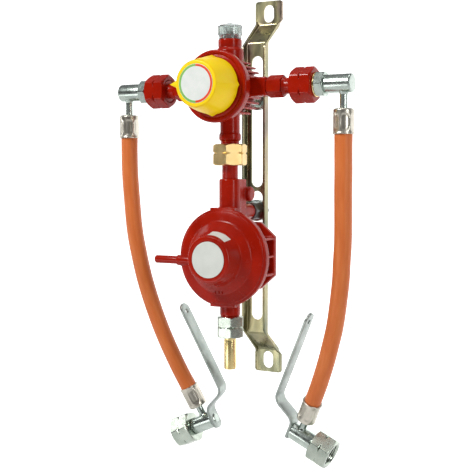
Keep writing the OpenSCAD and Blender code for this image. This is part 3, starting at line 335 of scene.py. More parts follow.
def rounded_rectangle(width: float, height: float, corner: float, steps: int = 4) -> np.ndarray:
    """Corners of a rectangle with rounded corners: each centre plus corner*(cos a, sin a)."""
    a = np.linspace(0, np.pi / 2, steps)
    out = []
    for k, (sx, sy) in enumerate(((1, 1), (-1, 1), (-1, -1), (1, -1))):
        turn = a + k * np.pi / 2
        centre = np.array([sx * (width / 2 - corner), sy * (height / 2 - corner)])
        out.append(centre + corner * np.stack([np.cos(turn), np.sin(turn)], -1))
    return np.vstack(out)


def cast(draft: Draft, grain: float, smoothing: int = 6) -> bpy.types.Object:
    """One casting out of overlapping shells, with soft edges and filled roots.

    The shells are filled on a grid of cubes, the skin of that grid is taken, and each point of the
    skin moves half way to the mean of its neighbours, smoothing times.

    Args:
        draft: the overlapping shells.
        grain: size of a cube, in millimetres.
        smoothing: how many times the skin is relaxed.

    Returns:
        The casting.
    """
    obj = draft.make()
    fill = obj.modifiers.new("fill", "REMESH")
    fill.mode = "VOXEL"
    fill.voxel_size = grain * METRE
    fill.use_smooth_shade = True
    relax = obj.modifiers.new("relax", "SMOOTH")
    relax.factor = 0.5
    relax.iterations = smoothing
    depsgraph = bpy.context.evaluated_depsgraph_get()
    mesh = bpy.data.meshes.new_from_object(obj.evaluated_get(depsgraph))
    obj.modifiers.clear()
    old = obj.data
    obj.data = mesh
    mesh.name = draft.name
    bpy.data.meshes.remove(old)
    mesh.polygons.foreach_set("use_smooth", np.ones(len(mesh.polygons), bool))
    return obj


def nut_profile(
    across: float, low: float, high: float, bore: float, mark: Optional[float] = None, crown: bool = True
) -> np.ndarray:
    """Outside and bore of a nut, as radius and height pairs.

    The radius grows from just inside the flats to the corners over the chamfer. The mark is a
    groove of depth D * (1 - |h - H| / w), which nicks the corners and runs out on the flats.

    Args:
        across: width across flats.
        low: height of the low face.
        high: height of the high face.
        bore: radius of the hole.
        mark: height of the groove that nicks the corners, if there is one.
        crown: whether the high end is chamfered too.

    Returns:
        The profile, closed through the bore.
    """
    corner = across / 2 / math.cos(math.pi / 6)
    flat = across / 2 * 0.955
    fall = (corner - flat) * 0.55
    t = np.linspace(0, 1, 9)
    chamfer = np.stack([flat + (corner - 0.25 - flat) * t, low + fall * t**1.25], -1)
    rows = [[bore, low + 0.4], [bore + 0.4, low], [flat - 0.6, low]]
    rows += chamfer.tolist()
    if mark is not None:
        dip = np.linspace(-1.3, 1.3, 7)
        depth = 1.8 * (1 - np.abs(dip) / 1.3)
        rows += np.stack([corner - 0.25 - depth, mark + dip], -1).tolist()
    if crown:
        top = np.stack([chamfer[::-1, 0], high - (chamfer[::-1, 1] - low)], -1)
        rows += top.tolist() + [[flat - 0.6, high]]
    else:
        rows += [[corner - 0.25, high - 0.4], [corner - 0.7, high]]
    rows += [[bore + 0.4, high], [bore, high - 0.4]]
    return np.array(rows, float)


def threaded_rod(draft: Draft, radius: float, pitch: float, low: float, high: float, placing: Placing) -> None:
    """Adds a rod with a ridge that winds up it.

    The radius is R - d/2 + d/2 * cos(2 pi (h / pitch - a / 2 pi)), with depth d = 0.6 pitch, faded
    out over the last pitch at both ends.

    Args:
        draft: the piece that the rod belongs to.
        radius: outer radius.
        pitch: rise for each turn.
        low: height of one end.
        high: height of the other.
        placing: where the rod goes.
    """
    angles = circle(28)
    height = np.arange(low, high + pitch / 12, pitch / 6)
    depth = 0.6 * pitch * np.clip(np.minimum(height - low, high - height) / pitch, 0, 1)[:, None]
    wave = np.cos(2 * np.pi * height[:, None] / pitch - angles[None, :])
    draft.rings(ring_stack(radius - depth / 2 + depth / 2 * wave, height, angles), placing)


def frames_along(path: np.ndarray, first: Sequence[float]) -> tuple[np.ndarray, np.ndarray, np.ndarray]:
    """Tangents of a path and two directions square to each.

    The tangent is the difference of the neighbours. The first direction is one fixed vector less
    its part along the tangent, and the second is their cross product.

    Args:
        path: points along the path.
        first: the fixed vector.

    Returns:
        Tangents, first directions and second directions.
    """
    tangent = np.gradient(path, axis=0)
    tangent /= np.linalg.norm(tangent, axis=1)[:, None]
    fixed = np.array(first, float)
    u = fixed[None] - (tangent @ fixed)[:, None] * tangent
    u /= np.linalg.norm(u, axis=1)[:, None]
    return tangent, u, np.cross(tangent, u)


# ---------------------------------------------------------------- finishes


class NodeSheet:
    """A material's node tree, with short calls to add and join nodes."""

    def __init__(self, name: str) -> None:
        """Starts a material that holds one principled shader."""
        self.material = bpy.data.materials.new(name)
        self.material.use_nodes = True
        self.tree = self.material.node_tree
        self.shader = self.tree.nodes["Principled BSDF"]

    def add(self, kind: str, **inputs: object) -> bpy.types.Node:
        """Adds a node and sets its inputs by name, with spaces written as underscores."""
        node = self.tree.nodes.new(kind)
        for key, value in inputs.items():
            node.inputs[key.replace("_", " ")].default_value = value
        return node

    def join(self, source: bpy.types.NodeSocket, target: bpy.types.NodeSocket) -> None:
        """Joins an output to an input."""
        self.tree.links.new(source, target)

    def place(self) -> bpy.types.NodeSocket:
        """The point on the piece, in metres in the row frame."""
        return self.add("ShaderNodeTexCoord").outputs["Object"]

    def noise(
        self, scale: float, detail: float = 3.0, stretch: Sequence[float] = (1, 1, 1)
    ) -> bpy.types.NodeSocket:
        """Noise of so many cells per metre, stretched along the axes."""
        node = self.add("ShaderNodeTexNoise", Scale=scale, Detail=detail)
        self.join(self.mapped(self.place(), Scale=tuple(stretch)), node.inputs["Vector"])
        return node.outputs["Fac"]

    def ramp(self, value: bpy.types.NodeSocket, stops: Sequence[tuple]) -> bpy.types.NodeSocket:
        """Colours between stops of position and colour."""
        node = self.add("ShaderNodeValToRGB")
        ramp = node.color_ramp
        while len(ramp.elements) < len(stops):
            ramp.elements.new(0.5)
        for element, (position, colour) in zip(ramp.elements, stops):
            element.position = position
            element.color = (*colour, 1.0)
        self.join(value, node.inputs["Fac"])
        return node.outputs["Color"]

    def spread(self, value: bpy.types.NodeSocket, low: float, high: float) -> bpy.types.NodeSocket:
        """A value from 0.3 to 0.7 spread out from low to high."""
        node = self.add("ShaderNodeMapRange")
        node.inputs["From Min"].default_value = 0.3
        node.inputs["From Max"].default_value = 0.7
        node.inputs["To Min"].default_value = low
        node.inputs["To Max"].default_value = high
        self.join(value, node.inputs["Value"])
        return node.outputs["Result"]

    def tone(self, value: bpy.types.NodeSocket, stops: Sequence[tuple]) -> None:
        """Colours the shader by a value."""
        self.join(self.ramp(value, stops), self.shader.inputs["Base Color"])

    def skin(self, value: bpy.types.NodeSocket, low: float, high: float) -> None:
        """Sets the shader's roughness by a value."""
        self.join(self.spread(value, low, high), self.shader.inputs["Roughness"])

    def set(self, **inputs: object) -> None:
        """Sets the shader's inputs by name, with spaces written as underscores."""
        for key, value in inputs.items():
            self.shader.inputs[key.replace("_", " ")].default_value = value

    def mapped(self, source: bpy.types.NodeSocket, **change: Sequence[float]) -> bpy.types.NodeSocket:
        """A point after one change of scale or place."""
        node = self.add("ShaderNodeMapping", **change)
        self.join(source, node.inputs["Vector"])
        return node.outputs[0]

    def relief(self, value: bpy.types.NodeSocket, strength: float, depth: float) -> None:
        """Bumps on the surface, depth metres high at strength 1."""
        node = self.add("ShaderNodeBump", Strength=strength, Distance=depth)
        self.join(value, node.inputs["Height"])
        self.join(node.outputs[0], self.shader.inputs["Normal"])


def linear(red: int, green: int, blue: int) -> tuple[float, float, float]:
    """A screen colour as linear light: ((c + 0.055) / 1.055) ^ 2.4 above the toe."""
    c = np.array([red, green, blue], float) / 255
    out = np.where(c <= 0.04045, c / 12.92, ((c + 0.055) / 1.055) ** 2.4)
    return tuple(float(v) for v in out)


# Materials made so far, by finish name. The frame's own materials may have the same names.
MADE: dict[str, bpy.types.Material] = {}


@dataclass(frozen=True)
class Finish:
    """A finish that a sheet of nodes can be made from."""

    name: str
    slot: str

    def make(self) -> bpy.types.Material:
        """The material, made once and used again."""
        if self.name not in MADE:
            sheet = NodeSheet(self.name)
            self.lay(sheet)
            MADE[self.name] = sheet.material
        return MADE[self.name]

    def lay(self, sheet: NodeSheet) -> None:
        """Lays the finish's nodes on an empty sheet."""
        raise NotImplementedError


@dataclass(frozen=True)
class PowderCoat(Finish):
    """Baked paint with a fine orange peel and soft patches of tone."""

    light: tuple = (0, 0, 0)
    dark: tuple = (0, 0, 0)
    gloss: float = 0.3

    def lay(self, sheet: NodeSheet) -> None:
        """Lays tone, peel and gloss."""
        tone = sheet.noise(45, 3)
        sheet.tone(tone, [(0.35, self.dark), (0.65, self.light)])
        sheet.skin(sheet.noise(160, 3), self.gloss - 0.05, self.gloss + 0.07)
        sheet.set(Specular_IOR_Level=0.19, Coat_Weight=0.05, Coat_Roughness=0.12)
        sheet.relief(sheet.noise(420, 2), 0.06, 0.00006)


@dataclass(frozen=True)
class Plating(Finish):
    """Plated or bare metal with fine tool marks along one direction."""

    light: tuple = (0, 0, 0)
    dark: tuple = (0, 0, 0)
    gloss: float = 0.28
    stretch: tuple = (1.0, 1.0, 1.0)
    marks: float = 0.07
    grain: float = 900.0

    def lay(self, sheet: NodeSheet) -> None:
        """Lays tone, marks and gloss."""
        sheet.tone(sheet.noise(90, 4), [(0.33, self.dark), (0.67, self.light)])
        sheet.set(Metallic=1.0)
        sheet.skin(sheet.noise(220, 4, self.stretch), self.gloss - 0.04, self.gloss + 0.06)
        sheet.relief(sheet.noise(self.grain, 3, self.stretch), self.marks, 0.00005)


@dataclass(frozen=True)
class Chromate(Finish):
    """Yellow-passivated sheet steel, which drifts from straw to olive and a little rose."""

    def lay(self, sheet: NodeSheet) -> None:
        """Lays the drifting tones, the rolling marks and the gloss."""
        tones = [
            (0.30, linear(104, 110, 92)), (0.43, linear(146, 144, 114)), (0.54, linear(170, 162, 124)),
            (0.64, linear(152, 136, 122)), (0.75, linear(112, 120, 98)),
        ]
        sheet.tone(sheet.noise(38, 4, (1, 1, 0.35)), tones)
        sheet.set(Metallic=1.0)
        sheet.skin(sheet.noise(120, 4, (1, 1, 0.2)), 0.2, 0.42)
        sheet.relief(sheet.noise(500, 3, (1, 1, 0.06)), 0.16, 0.00005)


@dataclass(frozen=True)
class Moulded(Finish):
    """Moulded plastic or rubber with a little light inside it."""

    light: tuple = (0, 0, 0)
    dark: tuple = (0, 0, 0)
    gloss: float = 0.34
    inner: float = 0.0
    grain: float = 900.0
    depth: float = 0.00002

    def lay(self, sheet: NodeSheet) -> None:
        """Lays tone, skin and gloss."""
        sheet.tone(sheet.noise(60, 3), [(0.35, self.dark), (0.65, self.light)])
        sheet.skin(sheet.noise(200, 3), self.gloss - 0.05, self.gloss + 0.06)
        sheet.set(Subsurface_Weight=self.inner, Subsurface_Radius=(0.004, 0.002, 0.0008),
                  Specular_IOR_Level=0.35)
        sheet.relief(sheet.noise(self.grain, 3), 0.25, self.depth)


@dataclass(frozen=True)
class HoseCover(Finish):
    """Extruded rubber cover: faint draw lines along the hose and a dusty skin.

    The pattern reads the piece's own UV map, where U goes once round the hose and V runs along it.
    """

    def lay(self, sheet: NodeSheet) -> None:
        """Lays the drawn tone, the skin and the gloss."""
        place = sheet.add("ShaderNodeUVMap")
        place.uv_map = "along"
        lines = sheet.add("ShaderNodeTexNoise", Scale=1.0, Detail=4.0)
        sheet.join(sheet.mapped(place.outputs[0], Scale=(9.0, 0.5, 1.0)), lines.inputs["Vector"])
        tones = [(0.30, linear(206, 102, 36)), (0.5, linear(213, 110, 43)), (0.72, linear(219, 120, 54))]
        sheet.tone(lines.outputs["Fac"], tones)
        sheet.skin(sheet.noise(150, 4), 0.44, 0.58)
        sheet.set(Sheen_Weight=0.12, Sheen_Roughness=0.4)
        sheet.relief(sheet.noise(900, 3), 0.12, 0.00004)


@dataclass(frozen=True)
class ClearPlastic(Finish):
    """Clear moulded plastic with a faint cool tint."""

    def lay(self, sheet: NodeSheet) -> None:
        """Lays a see-through body and a smooth skin."""
        sheet.set(Base_Color=(*linear(226, 234, 231), 1.0), Transmission_Weight=0.88, IOR=1.45)
        sheet.skin(sheet.noise(260, 2), 0.03, 0.09)
        sheet.relief(sheet.noise(300, 2), 0.1, 0.00005)


@dataclass(frozen=True)
class DialFace(Finish):
    """Pale printed disc with a rim that is green on one half and red on the other.

    The rim is where the distance from the disc's centre is over the inner radius. The half is the
    sign of X.
    """

    centre: tuple = (0.0, 0.0, 0.0)
    rim_from: float = 15.7
    rim_to: float = 17.75

    def lay(self, sheet: NodeSheet) -> None:
        """Lays the disc and its two-coloured rim."""
        split = sheet.add("ShaderNodeSeparateXYZ")
        middle = tuple(-METRE * c for c in self.centre)
        sheet.join(sheet.mapped(sheet.place(), Location=middle), split.inputs[0])
        x, z = split.outputs["X"], split.outputs["Z"]
        flat = sheet.add("ShaderNodeCombineXYZ")
        sheet.join(x, flat.inputs["X"])
        sheet.join(z, flat.inputs["Z"])
        length = sheet.add("ShaderNodeVectorMath")
        length.operation = "LENGTH"
        sheet.join(flat.outputs[0], length.inputs[0])
        radius = length.outputs["Value"]
        paper = sheet.ramp(sheet.noise(120, 3), [(0.3, linear(224, 228, 223)), (0.7, linear(233, 236, 231))])
        green, red = linear(128, 190, 96), linear(232, 72, 26)
        right = self.compare(sheet, "GREATER_THAN", x, 0.0)
        rim = sheet.add("ShaderNodeMix")
        rim.data_type = "RGBA"
        rim.inputs["A"].default_value = (*green, 1)
        rim.inputs["B"].default_value = (*red, 1)
        sheet.join(right, rim.inputs["Factor"])
        inside = self.compare(sheet, "GREATER_THAN", radius, self.rim_from * METRE)
        outside = self.compare(sheet, "LESS_THAN", radius, self.rim_to * METRE)
        band = sheet.add("ShaderNodeMath")
        band.operation = "MULTIPLY"
        sheet.join(inside, band.inputs[0])
        sheet.join(outside, band.inputs[1])
        whole = sheet.add("ShaderNodeMix")
        whole.data_type = "RGBA"
        sheet.join(band.outputs[0], whole.inputs["Factor"])
        sheet.join(paper, whole.inputs["A"])
        sheet.join(rim.outputs["Result"], whole.inputs["B"])
        sheet.join(whole.outputs["Result"], sheet.shader.inputs["Base Color"])
        sheet.skin(sheet.noise(300, 3), 0.3, 0.42)
        sheet.relief(sheet.noise(1500, 2), 0.15, 0.00001)

    @staticmethod
    def compare(
        sheet: NodeSheet, operation: str, value: bpy.types.NodeSocket, limit: float
    ) -> bpy.types.NodeSocket:
        """1 where the value is past the limit, else 0."""
        node = sheet.add("ShaderNodeMath")
        node.operation = operation
        sheet.join(value, node.inputs[0])
        node.inputs[1].default_value = limit
        return node.outputs[0]


@dataclass(frozen=True)
class BandedCollar(Finish):
    """Red collar with dark and white windows round it, by the angle about its axis."""

    def lay(self, sheet: NodeSheet) -> None:
        """Lays the windows by a pattern that repeats seven times round the angle about the axis."""
        angle = sheet.add("ShaderNodeTexGradient")
        angle.gradient_type = "RADIAL"
        middle = (0, -PIPE_Y * METRE, 0)
        sheet.join(sheet.mapped(sheet.place(), Location=middle), angle.inputs["Vector"])
        times = sheet.add("ShaderNodeMath")
        times.operation = "MULTIPLY"
        times.inputs[1].default_value = 7.0
        sheet.join(angle.outputs["Fac"], times.inputs[0])
        part = sheet.add("ShaderNodeMath")
        part.operation = "FRACT"
        sheet.join(times.outputs[0], part.inputs[0])
        ramp = sheet.ramp(part.outputs[0], [(0.0, linear(178, 22, 18)), (0.45, linear(226, 226, 222)),
                                            (0.62, linear(20, 18, 18)), (0.85, linear(178, 22, 18))])
        for node in sheet.tree.nodes:
            if node.bl_idname == "ShaderNodeValToRGB":
                node.color_ramp.interpolation = "CONSTANT"
        sheet.join(ramp, sheet.shader.inputs["Base Color"])
        sheet.skin(sheet.noise(300, 2), 0.3, 0.4)


RED = PowderCoat("red_powder", "red_powder_coat", linear(166, 27, 5), linear(150, 22, 4), 0.22)
YELLOW = Moulded("yellow_knob_plastic", "yellow_plastic", linear(255, 222, 0), linear(255, 214, 0), 0.40, 0.0,
                 800.0, 0.00002)
CHROMATE = Chromate("chromate_sheet_steel", "chromate_sheet")
ZINC = Plating("blue_zinc", "zinc_steel", linear(200, 211, 203), linear(178, 189, 182), 0.24, marks=0.012)
ZINC_MATT = Plating("matt_zinc_nut", "zinc_steel", linear(204, 212, 200), linear(176, 186, 174), 0.22)
LEVER_ZINC = Plating("lever_zinc", "lever_steel", linear(180, 187, 182), linear(154, 162, 157), 0.36,
                     (1.0, 1.0, 0.25))
DARK_ZINC = Plating("dark_zinc", "dark_steel", linear(176, 182, 184), linear(146, 152, 155), 0.36)
NICKEL = Plating("nickel_ferrule", "nickel_steel", linear(218, 213, 199), linear(196, 191, 178), 0.32,
                 marks=0.0)
WIRE = Plating("spring_wire", "spring_steel", linear(190, 190, 186), linear(160, 160, 158), 0.3)
SATIN_BRASS = Plating("pressed_brass", "satin_brass", linear(238, 210, 150), linear(226, 196, 132), 0.36,
                      (1, 1, 1), 0.1)
BRIGHT_BRASS = Plating("turned_brass", "bright_brass", linear(252, 232, 172), linear(242, 216, 148), 0.22,
                       (1, 1, 6), 0.12)
BLACK_RUBBER = Moulded("nitrile_rubber", "black_rubber", linear(44, 44, 46), linear(30, 30, 32), 0.6)
PLAIN_LABEL = Moulded("plain_plate", "plain_label", linear(218, 221, 213), linear(207, 211, 203), 0.4,
                      0.0, 1500.0, 0.00001)
HOSE_RUBBER = HoseCover("orange_hose_cover", "orange_hose")
CLEAR = ClearPlastic("clear_cap_plastic", "clear_plastic")
COLLAR = BandedCollar("banded_collar", "red_plastic")


class Workshop:
    """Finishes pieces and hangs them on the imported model."""

    @staticmethod
    def fit(obj: bpy.types.Object, finish: Finish, body: str, *nodes: str) -> bpy.types.Object:
        """Dresses a new piece, hangs it on a body and hides the solids that it stands for.

        Args:
            obj: the new piece.
            finish: its finish.
            body: the body that it moves with.
            nodes: the nodes that it replaces.

        Returns:
            The piece.
        """
        obj.data.materials.clear()
        obj.data.materials.append(finish.make())
        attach(obj, body)
        if nodes:
            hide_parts(*nodes)
        LOG.info("made %s (%d faces) on %s", obj.name, len(obj.data.polygons), body)
        return obj

    @staticmethod
    def dress(node: str, finish: Finish) -> None:
        """Gives a solid that stays its finish."""
        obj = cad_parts[node]
        for index in range(max(1, len(obj.material_slots))):
            if index < len(obj.material_slots):
                obj.material_slots[index].material = finish.make()
            else:
                obj.data.materials.append(finish.make())
        LOG.info("dressed %s", node)

    @staticmethod
    def dress_all(**finishes: Finish) -> None:
        """Gives each named solid its finish."""
        for node, finish in finishes.items():
            Workshop.dress(node, finish)


# ---------------------------------------------------------------- hoses


@dataclass
class HoseLine:
    """One hose with its ferrules, elbows, lever and cylinder nut."""

    side: Side
    hose_r: float = 8.5
    ferrule_r: float = 9.7
    ferrule_len: float = 23.5
    ferrule_drop: float = 23.0
    arm_reach: float = 119.5
    lower_axis: float = 42.5
    lever_t: float = 2.6
    lever_w: float = 16.0
    cord_facts: tuple[bpy.types.Object, np.ndarray, float] = field(init=False, repr=False)
    lever_offset: float = 25.5
    lever_h: float = 125.0
    lever_swing: float = 3.0
    route: tuple = (
        (0, 0, 0), (0, 0, -17), (0, 0.5, -34), (-0.5, 1.5, -51), (-1, 3, -68), (-1.5, 4.5, -85),
        (-2.5, 6.5, -102), (-4.5, 9, -119), (-6.5, 12, -135.5), (-9.5, 15, -152.5),
        (-13, 18.5, -169), (-17, 22, -185), (-22, 25, -201), (-27.5, 28.5, -217),
        (-33.5, 32, -232.5), (-40, 35.5, -248), (-47, 39, -263),
    )
    tilt: float = 25.0
    lean: float = 11.0
    end: Placing = field(init=False)

    def __post_init__(self) -> None:
        """Works out the frame of the hose's lower mouth."""
        a, b = math.radians(self.lean), math.radians(self.tilt)
        about_x = np.array([[1, 0, 0], [0, math.cos(a), -math.sin(a)], [0, math.sin(a), math.cos(a)]])
        about_y = np.array([[math.cos(b), 0, math.sin(b)], [0, 1, 0], [-math.sin(b), 0, math.cos(b)]])
        axes = (about_y @ about_x).T
        origin = self.right_route()[-1]
        self.end = self.side.place(Placing(tuple(origin), tuple(map(tuple, axes))))

    def right_route(self) -> np.ndarray:
        """The route's points on the right, in the row frame."""
        start = np.array([self.arm_reach, PIPE_Y, VALVE_Z - self.ferrule_drop - self.ferrule_len])
        return start + np.array(self.route, float)

    def centre_line(self, per_point: int = 6) -> np.ndarray:
        """A smooth curve through the route's points.

        Between points i and i + 1 it is the cubic with values p and slopes half the difference of
        each point's neighbours: h00 p0 + h10 m0 + h01 p1 + h11 m1.

        Args:
            per_point: points of the curve between two points of the route.

        Returns:
            The curve's points on this side, in the row frame.
        """
        p = self.right_route()
        down = np.array([0.0, 0.0, -17.0])
        a, b = math.radians(self.lean), math.radians(self.tilt)
        last = 17.5 * np.array([-math.cos(a) * math.sin(b), math.sin(a), -math.cos(a) * math.cos(b)])
        slope = np.vstack([down, (p[2:] - p[:-2]) / 2, last])
        t = (np.arange(per_point) / per_point)[None, :, None]
        p0, p1, m0, m1 = p[:-1, None], p[1:, None], slope[:-1, None], slope[1:, None]
        curve = ((2 * t**3 - 3 * t**2 + 1) * p0 + (t**3 - 2 * t**2 + t) * m0
                 + (3 * t**2 - 2 * t**3) * p1 + (t**3 - t**2) * m1)
        curve = np.vstack([curve.reshape(-1, 3), p[-1:]])
        return self.side.place(Placing()).to_row(curve)

    def name(self, piece: str) -> str:
        """A piece's name with this side in front."""
        return f"{self.side.value}_{piece}"

    def make_hose(self) -> bpy.types.Object:
        """The hose: circles of radius R square to the centre line, closed down its bore.

        The skin swells by a tenth of a millimetre just outside each ferrule. Round it goes the UV
        map named along.

        Returns:
            The hose.
        """
        path = self.centre_line()
        tangent, u, v = frames_along(path, (0.0, 1.0, 0.0))
        tangent[0] = (0, 0, -1)
        around = circle(40)
        steps = np.linalg.norm(np.diff(path, axis=0), axis=1)
        run = np.concatenate([[0.0], np.cumsum(steps)])
        ring = np.cos(around)[None, :, None] * u[:, None] + np.sin(around)[None, :, None] * v[:, None]
        near = np.minimum(run, run[-1] - run)
        outer = self.hose_r - 0.10 + 0.10 * np.exp(-((near - 3.0) / 2.5) ** 2)
        skin = path[:, None] + outer[:, None, None] * ring
        bore = path[:, None] + 4.6 * ring
        draft = Draft(self.name("orange_hose"))
        rings = np.vstack([skin, bore[::-1]])
        draft.rings(rings, joined=True)
        obj = draft.make(60)
        self.map_along(obj, np.concatenate([run, run[::-1]]) * METRE, len(around))
        Workshop.fit(obj, HOSE_RUBBER, BODY, self.name("hose"))
        length = float(run[-1] * METRE)
        self.cord_facts = (obj, path * METRE, length)
        return obj

    def map_along(self, obj: bpy.types.Object, run: np.ndarray, around: int) -> None:
        """Gives the hose its UV map: U once round it and V along it in units of 20 mm.

        Args:
            obj: the hose.
            run: distance along the hose of each ring.
            around: points round each ring.
        """
        mesh = obj.data
        layer = mesh.uv_layers.new(name="along")
        index = np.empty(len(mesh.loops), np.int32)
        mesh.loops.foreach_get("vertex_index", index)
        row, col = index // around, index % around
        start = np.empty(len(mesh.polygons), np.int32)
        mesh.polygons.foreach_get("loop_start", start)
        first = np.repeat(start, 4)[: len(index)]
        lowest = np.minimum.reduceat(col, start)
        highest = np.maximum.reduceat(col, start)
        wraps = np.repeat(highest - lowest > around // 2, 4)[: len(index)]
        turn = col / around + np.where(wraps & (col < around // 2), 1.0, 0.0)
        uv = np.stack([turn, run[np.clip(row, 0, len(run) - 1)] / 0.02], -1)
        layer.data.foreach_set("uv", uv.ravel())

    def declare(self, with_pieces: Sequence[bpy.types.Object]) -> None:
        """Does nothing with the hose or with the pieces on its lower end."""

    def ferrule(self, name: str, placing: Placing) -> bpy.types.Object:
        """A crimped sleeve along local z, closed end first.

        The radius is R - D * smooth((1 - q) / 0.3) with q = ((a / A)^4 + (h / H)^4)^(1/4), where a
        and h count from the middle of the nearest of six dents. The mouth has a small lip.

        Args:
            name: the node that it replaces.
            placing: where its closed end lies.

        Returns:
            The ferrule.
        """
        length, r = self.ferrule_len, self.ferrule_r
        outside = rounded_path(
            [(4.2, 0.0), (r - 1.2, 0.0), (r, 1.2), (r, 4.5), (r, length - 2.6), (r + 0.1, length - 1.8),
             (r + 0.5, length - 1.2), (r + 0.5, length), (self.hose_r + 0.2, length)], 0.5, 4)
        extra = np.linspace(4.5, length - 3.2, 26)
        outside = np.vstack([outside, np.stack([np.full(26, r), extra], -1)])
        ends = np.where(outside[:, 1] > 5, 1e3, -1e3)
        key = np.where(outside[:, 0] < self.hose_r + 0.3, ends, outside[:, 1])
        outside = outside[np.argsort(key, kind="stable")]
        angles = circle(96)
        off = (angles + np.pi / 6) % (np.pi / 3) - np.pi / 6
        height = outside[:, 1]
        across = (np.abs(off) / math.radians(27))[None, :] ** 4
        along = (np.abs(height - length / 2 - 0.8) / (length / 2 - 3.2))[:, None] ** 4
        press = np.clip((1 - (across + along) ** 0.25) / 0.3, 0, 1)
        radius = outside[:, :1] - 0.65 * press**2 * (3 - 2 * press)
        mouth = self.hose_r + 0.1
        bore = np.array([[mouth, length - 0.3], [mouth, 2.0], [4.0, 2.0], [4.0, 0.3]])
        rings = [ring_stack(radius, height, angles), ring_stack(bore[:, :1], bore[:, 1], angles)]
        draft = Draft(f"{name}_crimped").rings(np.vstack(rings), placing, joined=True)
        return Workshop.fit(draft.make(30), NICKEL, BODY, name)

    def make_top(self) -> None:
        """The elbow that the upper nut holds, and the ferrule under it."""
        arm = self.side.place(sideways(0, PIPE_Y, VALVE_Z))
        draft = Draft(self.name("top_elbow_body"))
        draft.turned(rounded_path([(3.5, 85.2), (10.3, 85.2), (10.5, 85.6), (10.5, 87.6), (8.0, 87.8),
                                   (8.0, 93.4),
                                   (3.6, 93.4)], 0.3, 3), arm, sides=72)
        draft.hexagonal(nut_profile(22, 93.2, 102.0, 3.6), 22, arm, turn=0.0)
        body = rounded_path([(3.0, 101.5), (8.8, 101.5), (8.8, 127.0), (8.3, 128.1), (7.0, 128.5),
                             (0.6, 128.5)],
                            0.8, 5)
        draft.turned(body, arm, sides=72)
        down = self.side.place(downwards(self.arm_reach, PIPE_Y, VALVE_Z))
        tube = rounded_path([(0.4, 4.0), (5.0, 4.0), (5.0, 7.6), (4.6, 8.8), (3.75, 9.8), (3.75, 26.0),
                             (0.4, 26.0)],
                            0.6, 4)
        draft.turned(tube, down, sides=48)
        Workshop.fit(draft.make(20), ZINC, BODY, self.name("top_elbow"))
        mouth = self.side.place(downwards(self.arm_reach, PIPE_Y, VALVE_Z - self.ferrule_drop))
        self.ferrule(self.name("top_ferrule"), mouth)

    def make_bottom(self) -> list[bpy.types.Object]:
        """The ferrule, elbow, lever and nut on the hose's lower end.

        Returns:
            The pieces, passed on to declare.
        """
        pieces = [self.ferrule(self.name("bottom_ferrule"),
                               Placing((0, 0, -self.ferrule_len)).within(self.end))]
        axis = sideways(0, 0, -self.lower_axis).within(self.end)
        draft = Draft(self.name("bottom_elbow_body"))
        body = rounded_path([(0.5, -9.5), (8.4, -9.5), (8.8, -9.0), (8.8, 15.2), (8.0, 16.2), (8.0, 20.4),
                             (10.4, 20.4), (10.5, 20.8), (10.5, 23.0), (3.5, 23.2)], 0.4, 4)
        draft.turned(body, axis, sides=72)
        rivet = rounded_path([(0.5, -13.5), (4.0, -13.5), (5.4, -12.3), (5.4, -12.05), (3.9, -12.0),
                              (3.9, -9.4),
                              (0.5, -9.4)], 0.7, 4)
        draft.turned(rivet, axis, sides=40)
        up = Placing((0, 0, -self.lower_axis)).within(self.end)
        tube = rounded_path([(0.4, 4.0), (5.0, 4.0), (5.0, 7.8), (4.5, 9.0), (3.75, 10.0),
                             (3.75, 21.5), (0.4, 21.5)],
                            0.6, 4)
        draft.turned(tube, up, sides=48)
        pieces.append(Workshop.fit(draft.make(), ZINC, BODY, self.name("bottom_elbow")))
        pieces.append(self.make_lever())
        turn = 10 if self.side is Side.LEFT else -2
        nut = sideways(16.7, 0, -self.lower_axis).within(self.end).turned(turn)
        draft = Draft(self.name("cylinder_nut_body"))
        profile = nut_profile(30, 0, 22, 8.3, 11.0)
        profile = np.vstack([profile[:-2], [[12.0, 22.0], [10.9, 20.9], [10.9, 8.7], [11.3, 8.7], [11.3, 3.5],
                                            [8.3, 3.5]]])
        thread = np.arange(20.6, 9.0, -0.3)
        ridge = 10.9 + 0.35 * (0.5 - 0.5 * np.cos(2 * np.pi * thread / 1.8))
        profile = np.vstack([profile[:-4], np.stack([ridge, thread], -1), profile[-4:]])
        draft.hexagonal(profile, 30, nut)
        nut_obj = Workshop.fit(draft.make(14), ZINC_MATT, self.name("cylinder_nut"),
                               self.name("cylinder_nut"))
        pieces.append(nut_obj)
        return pieces

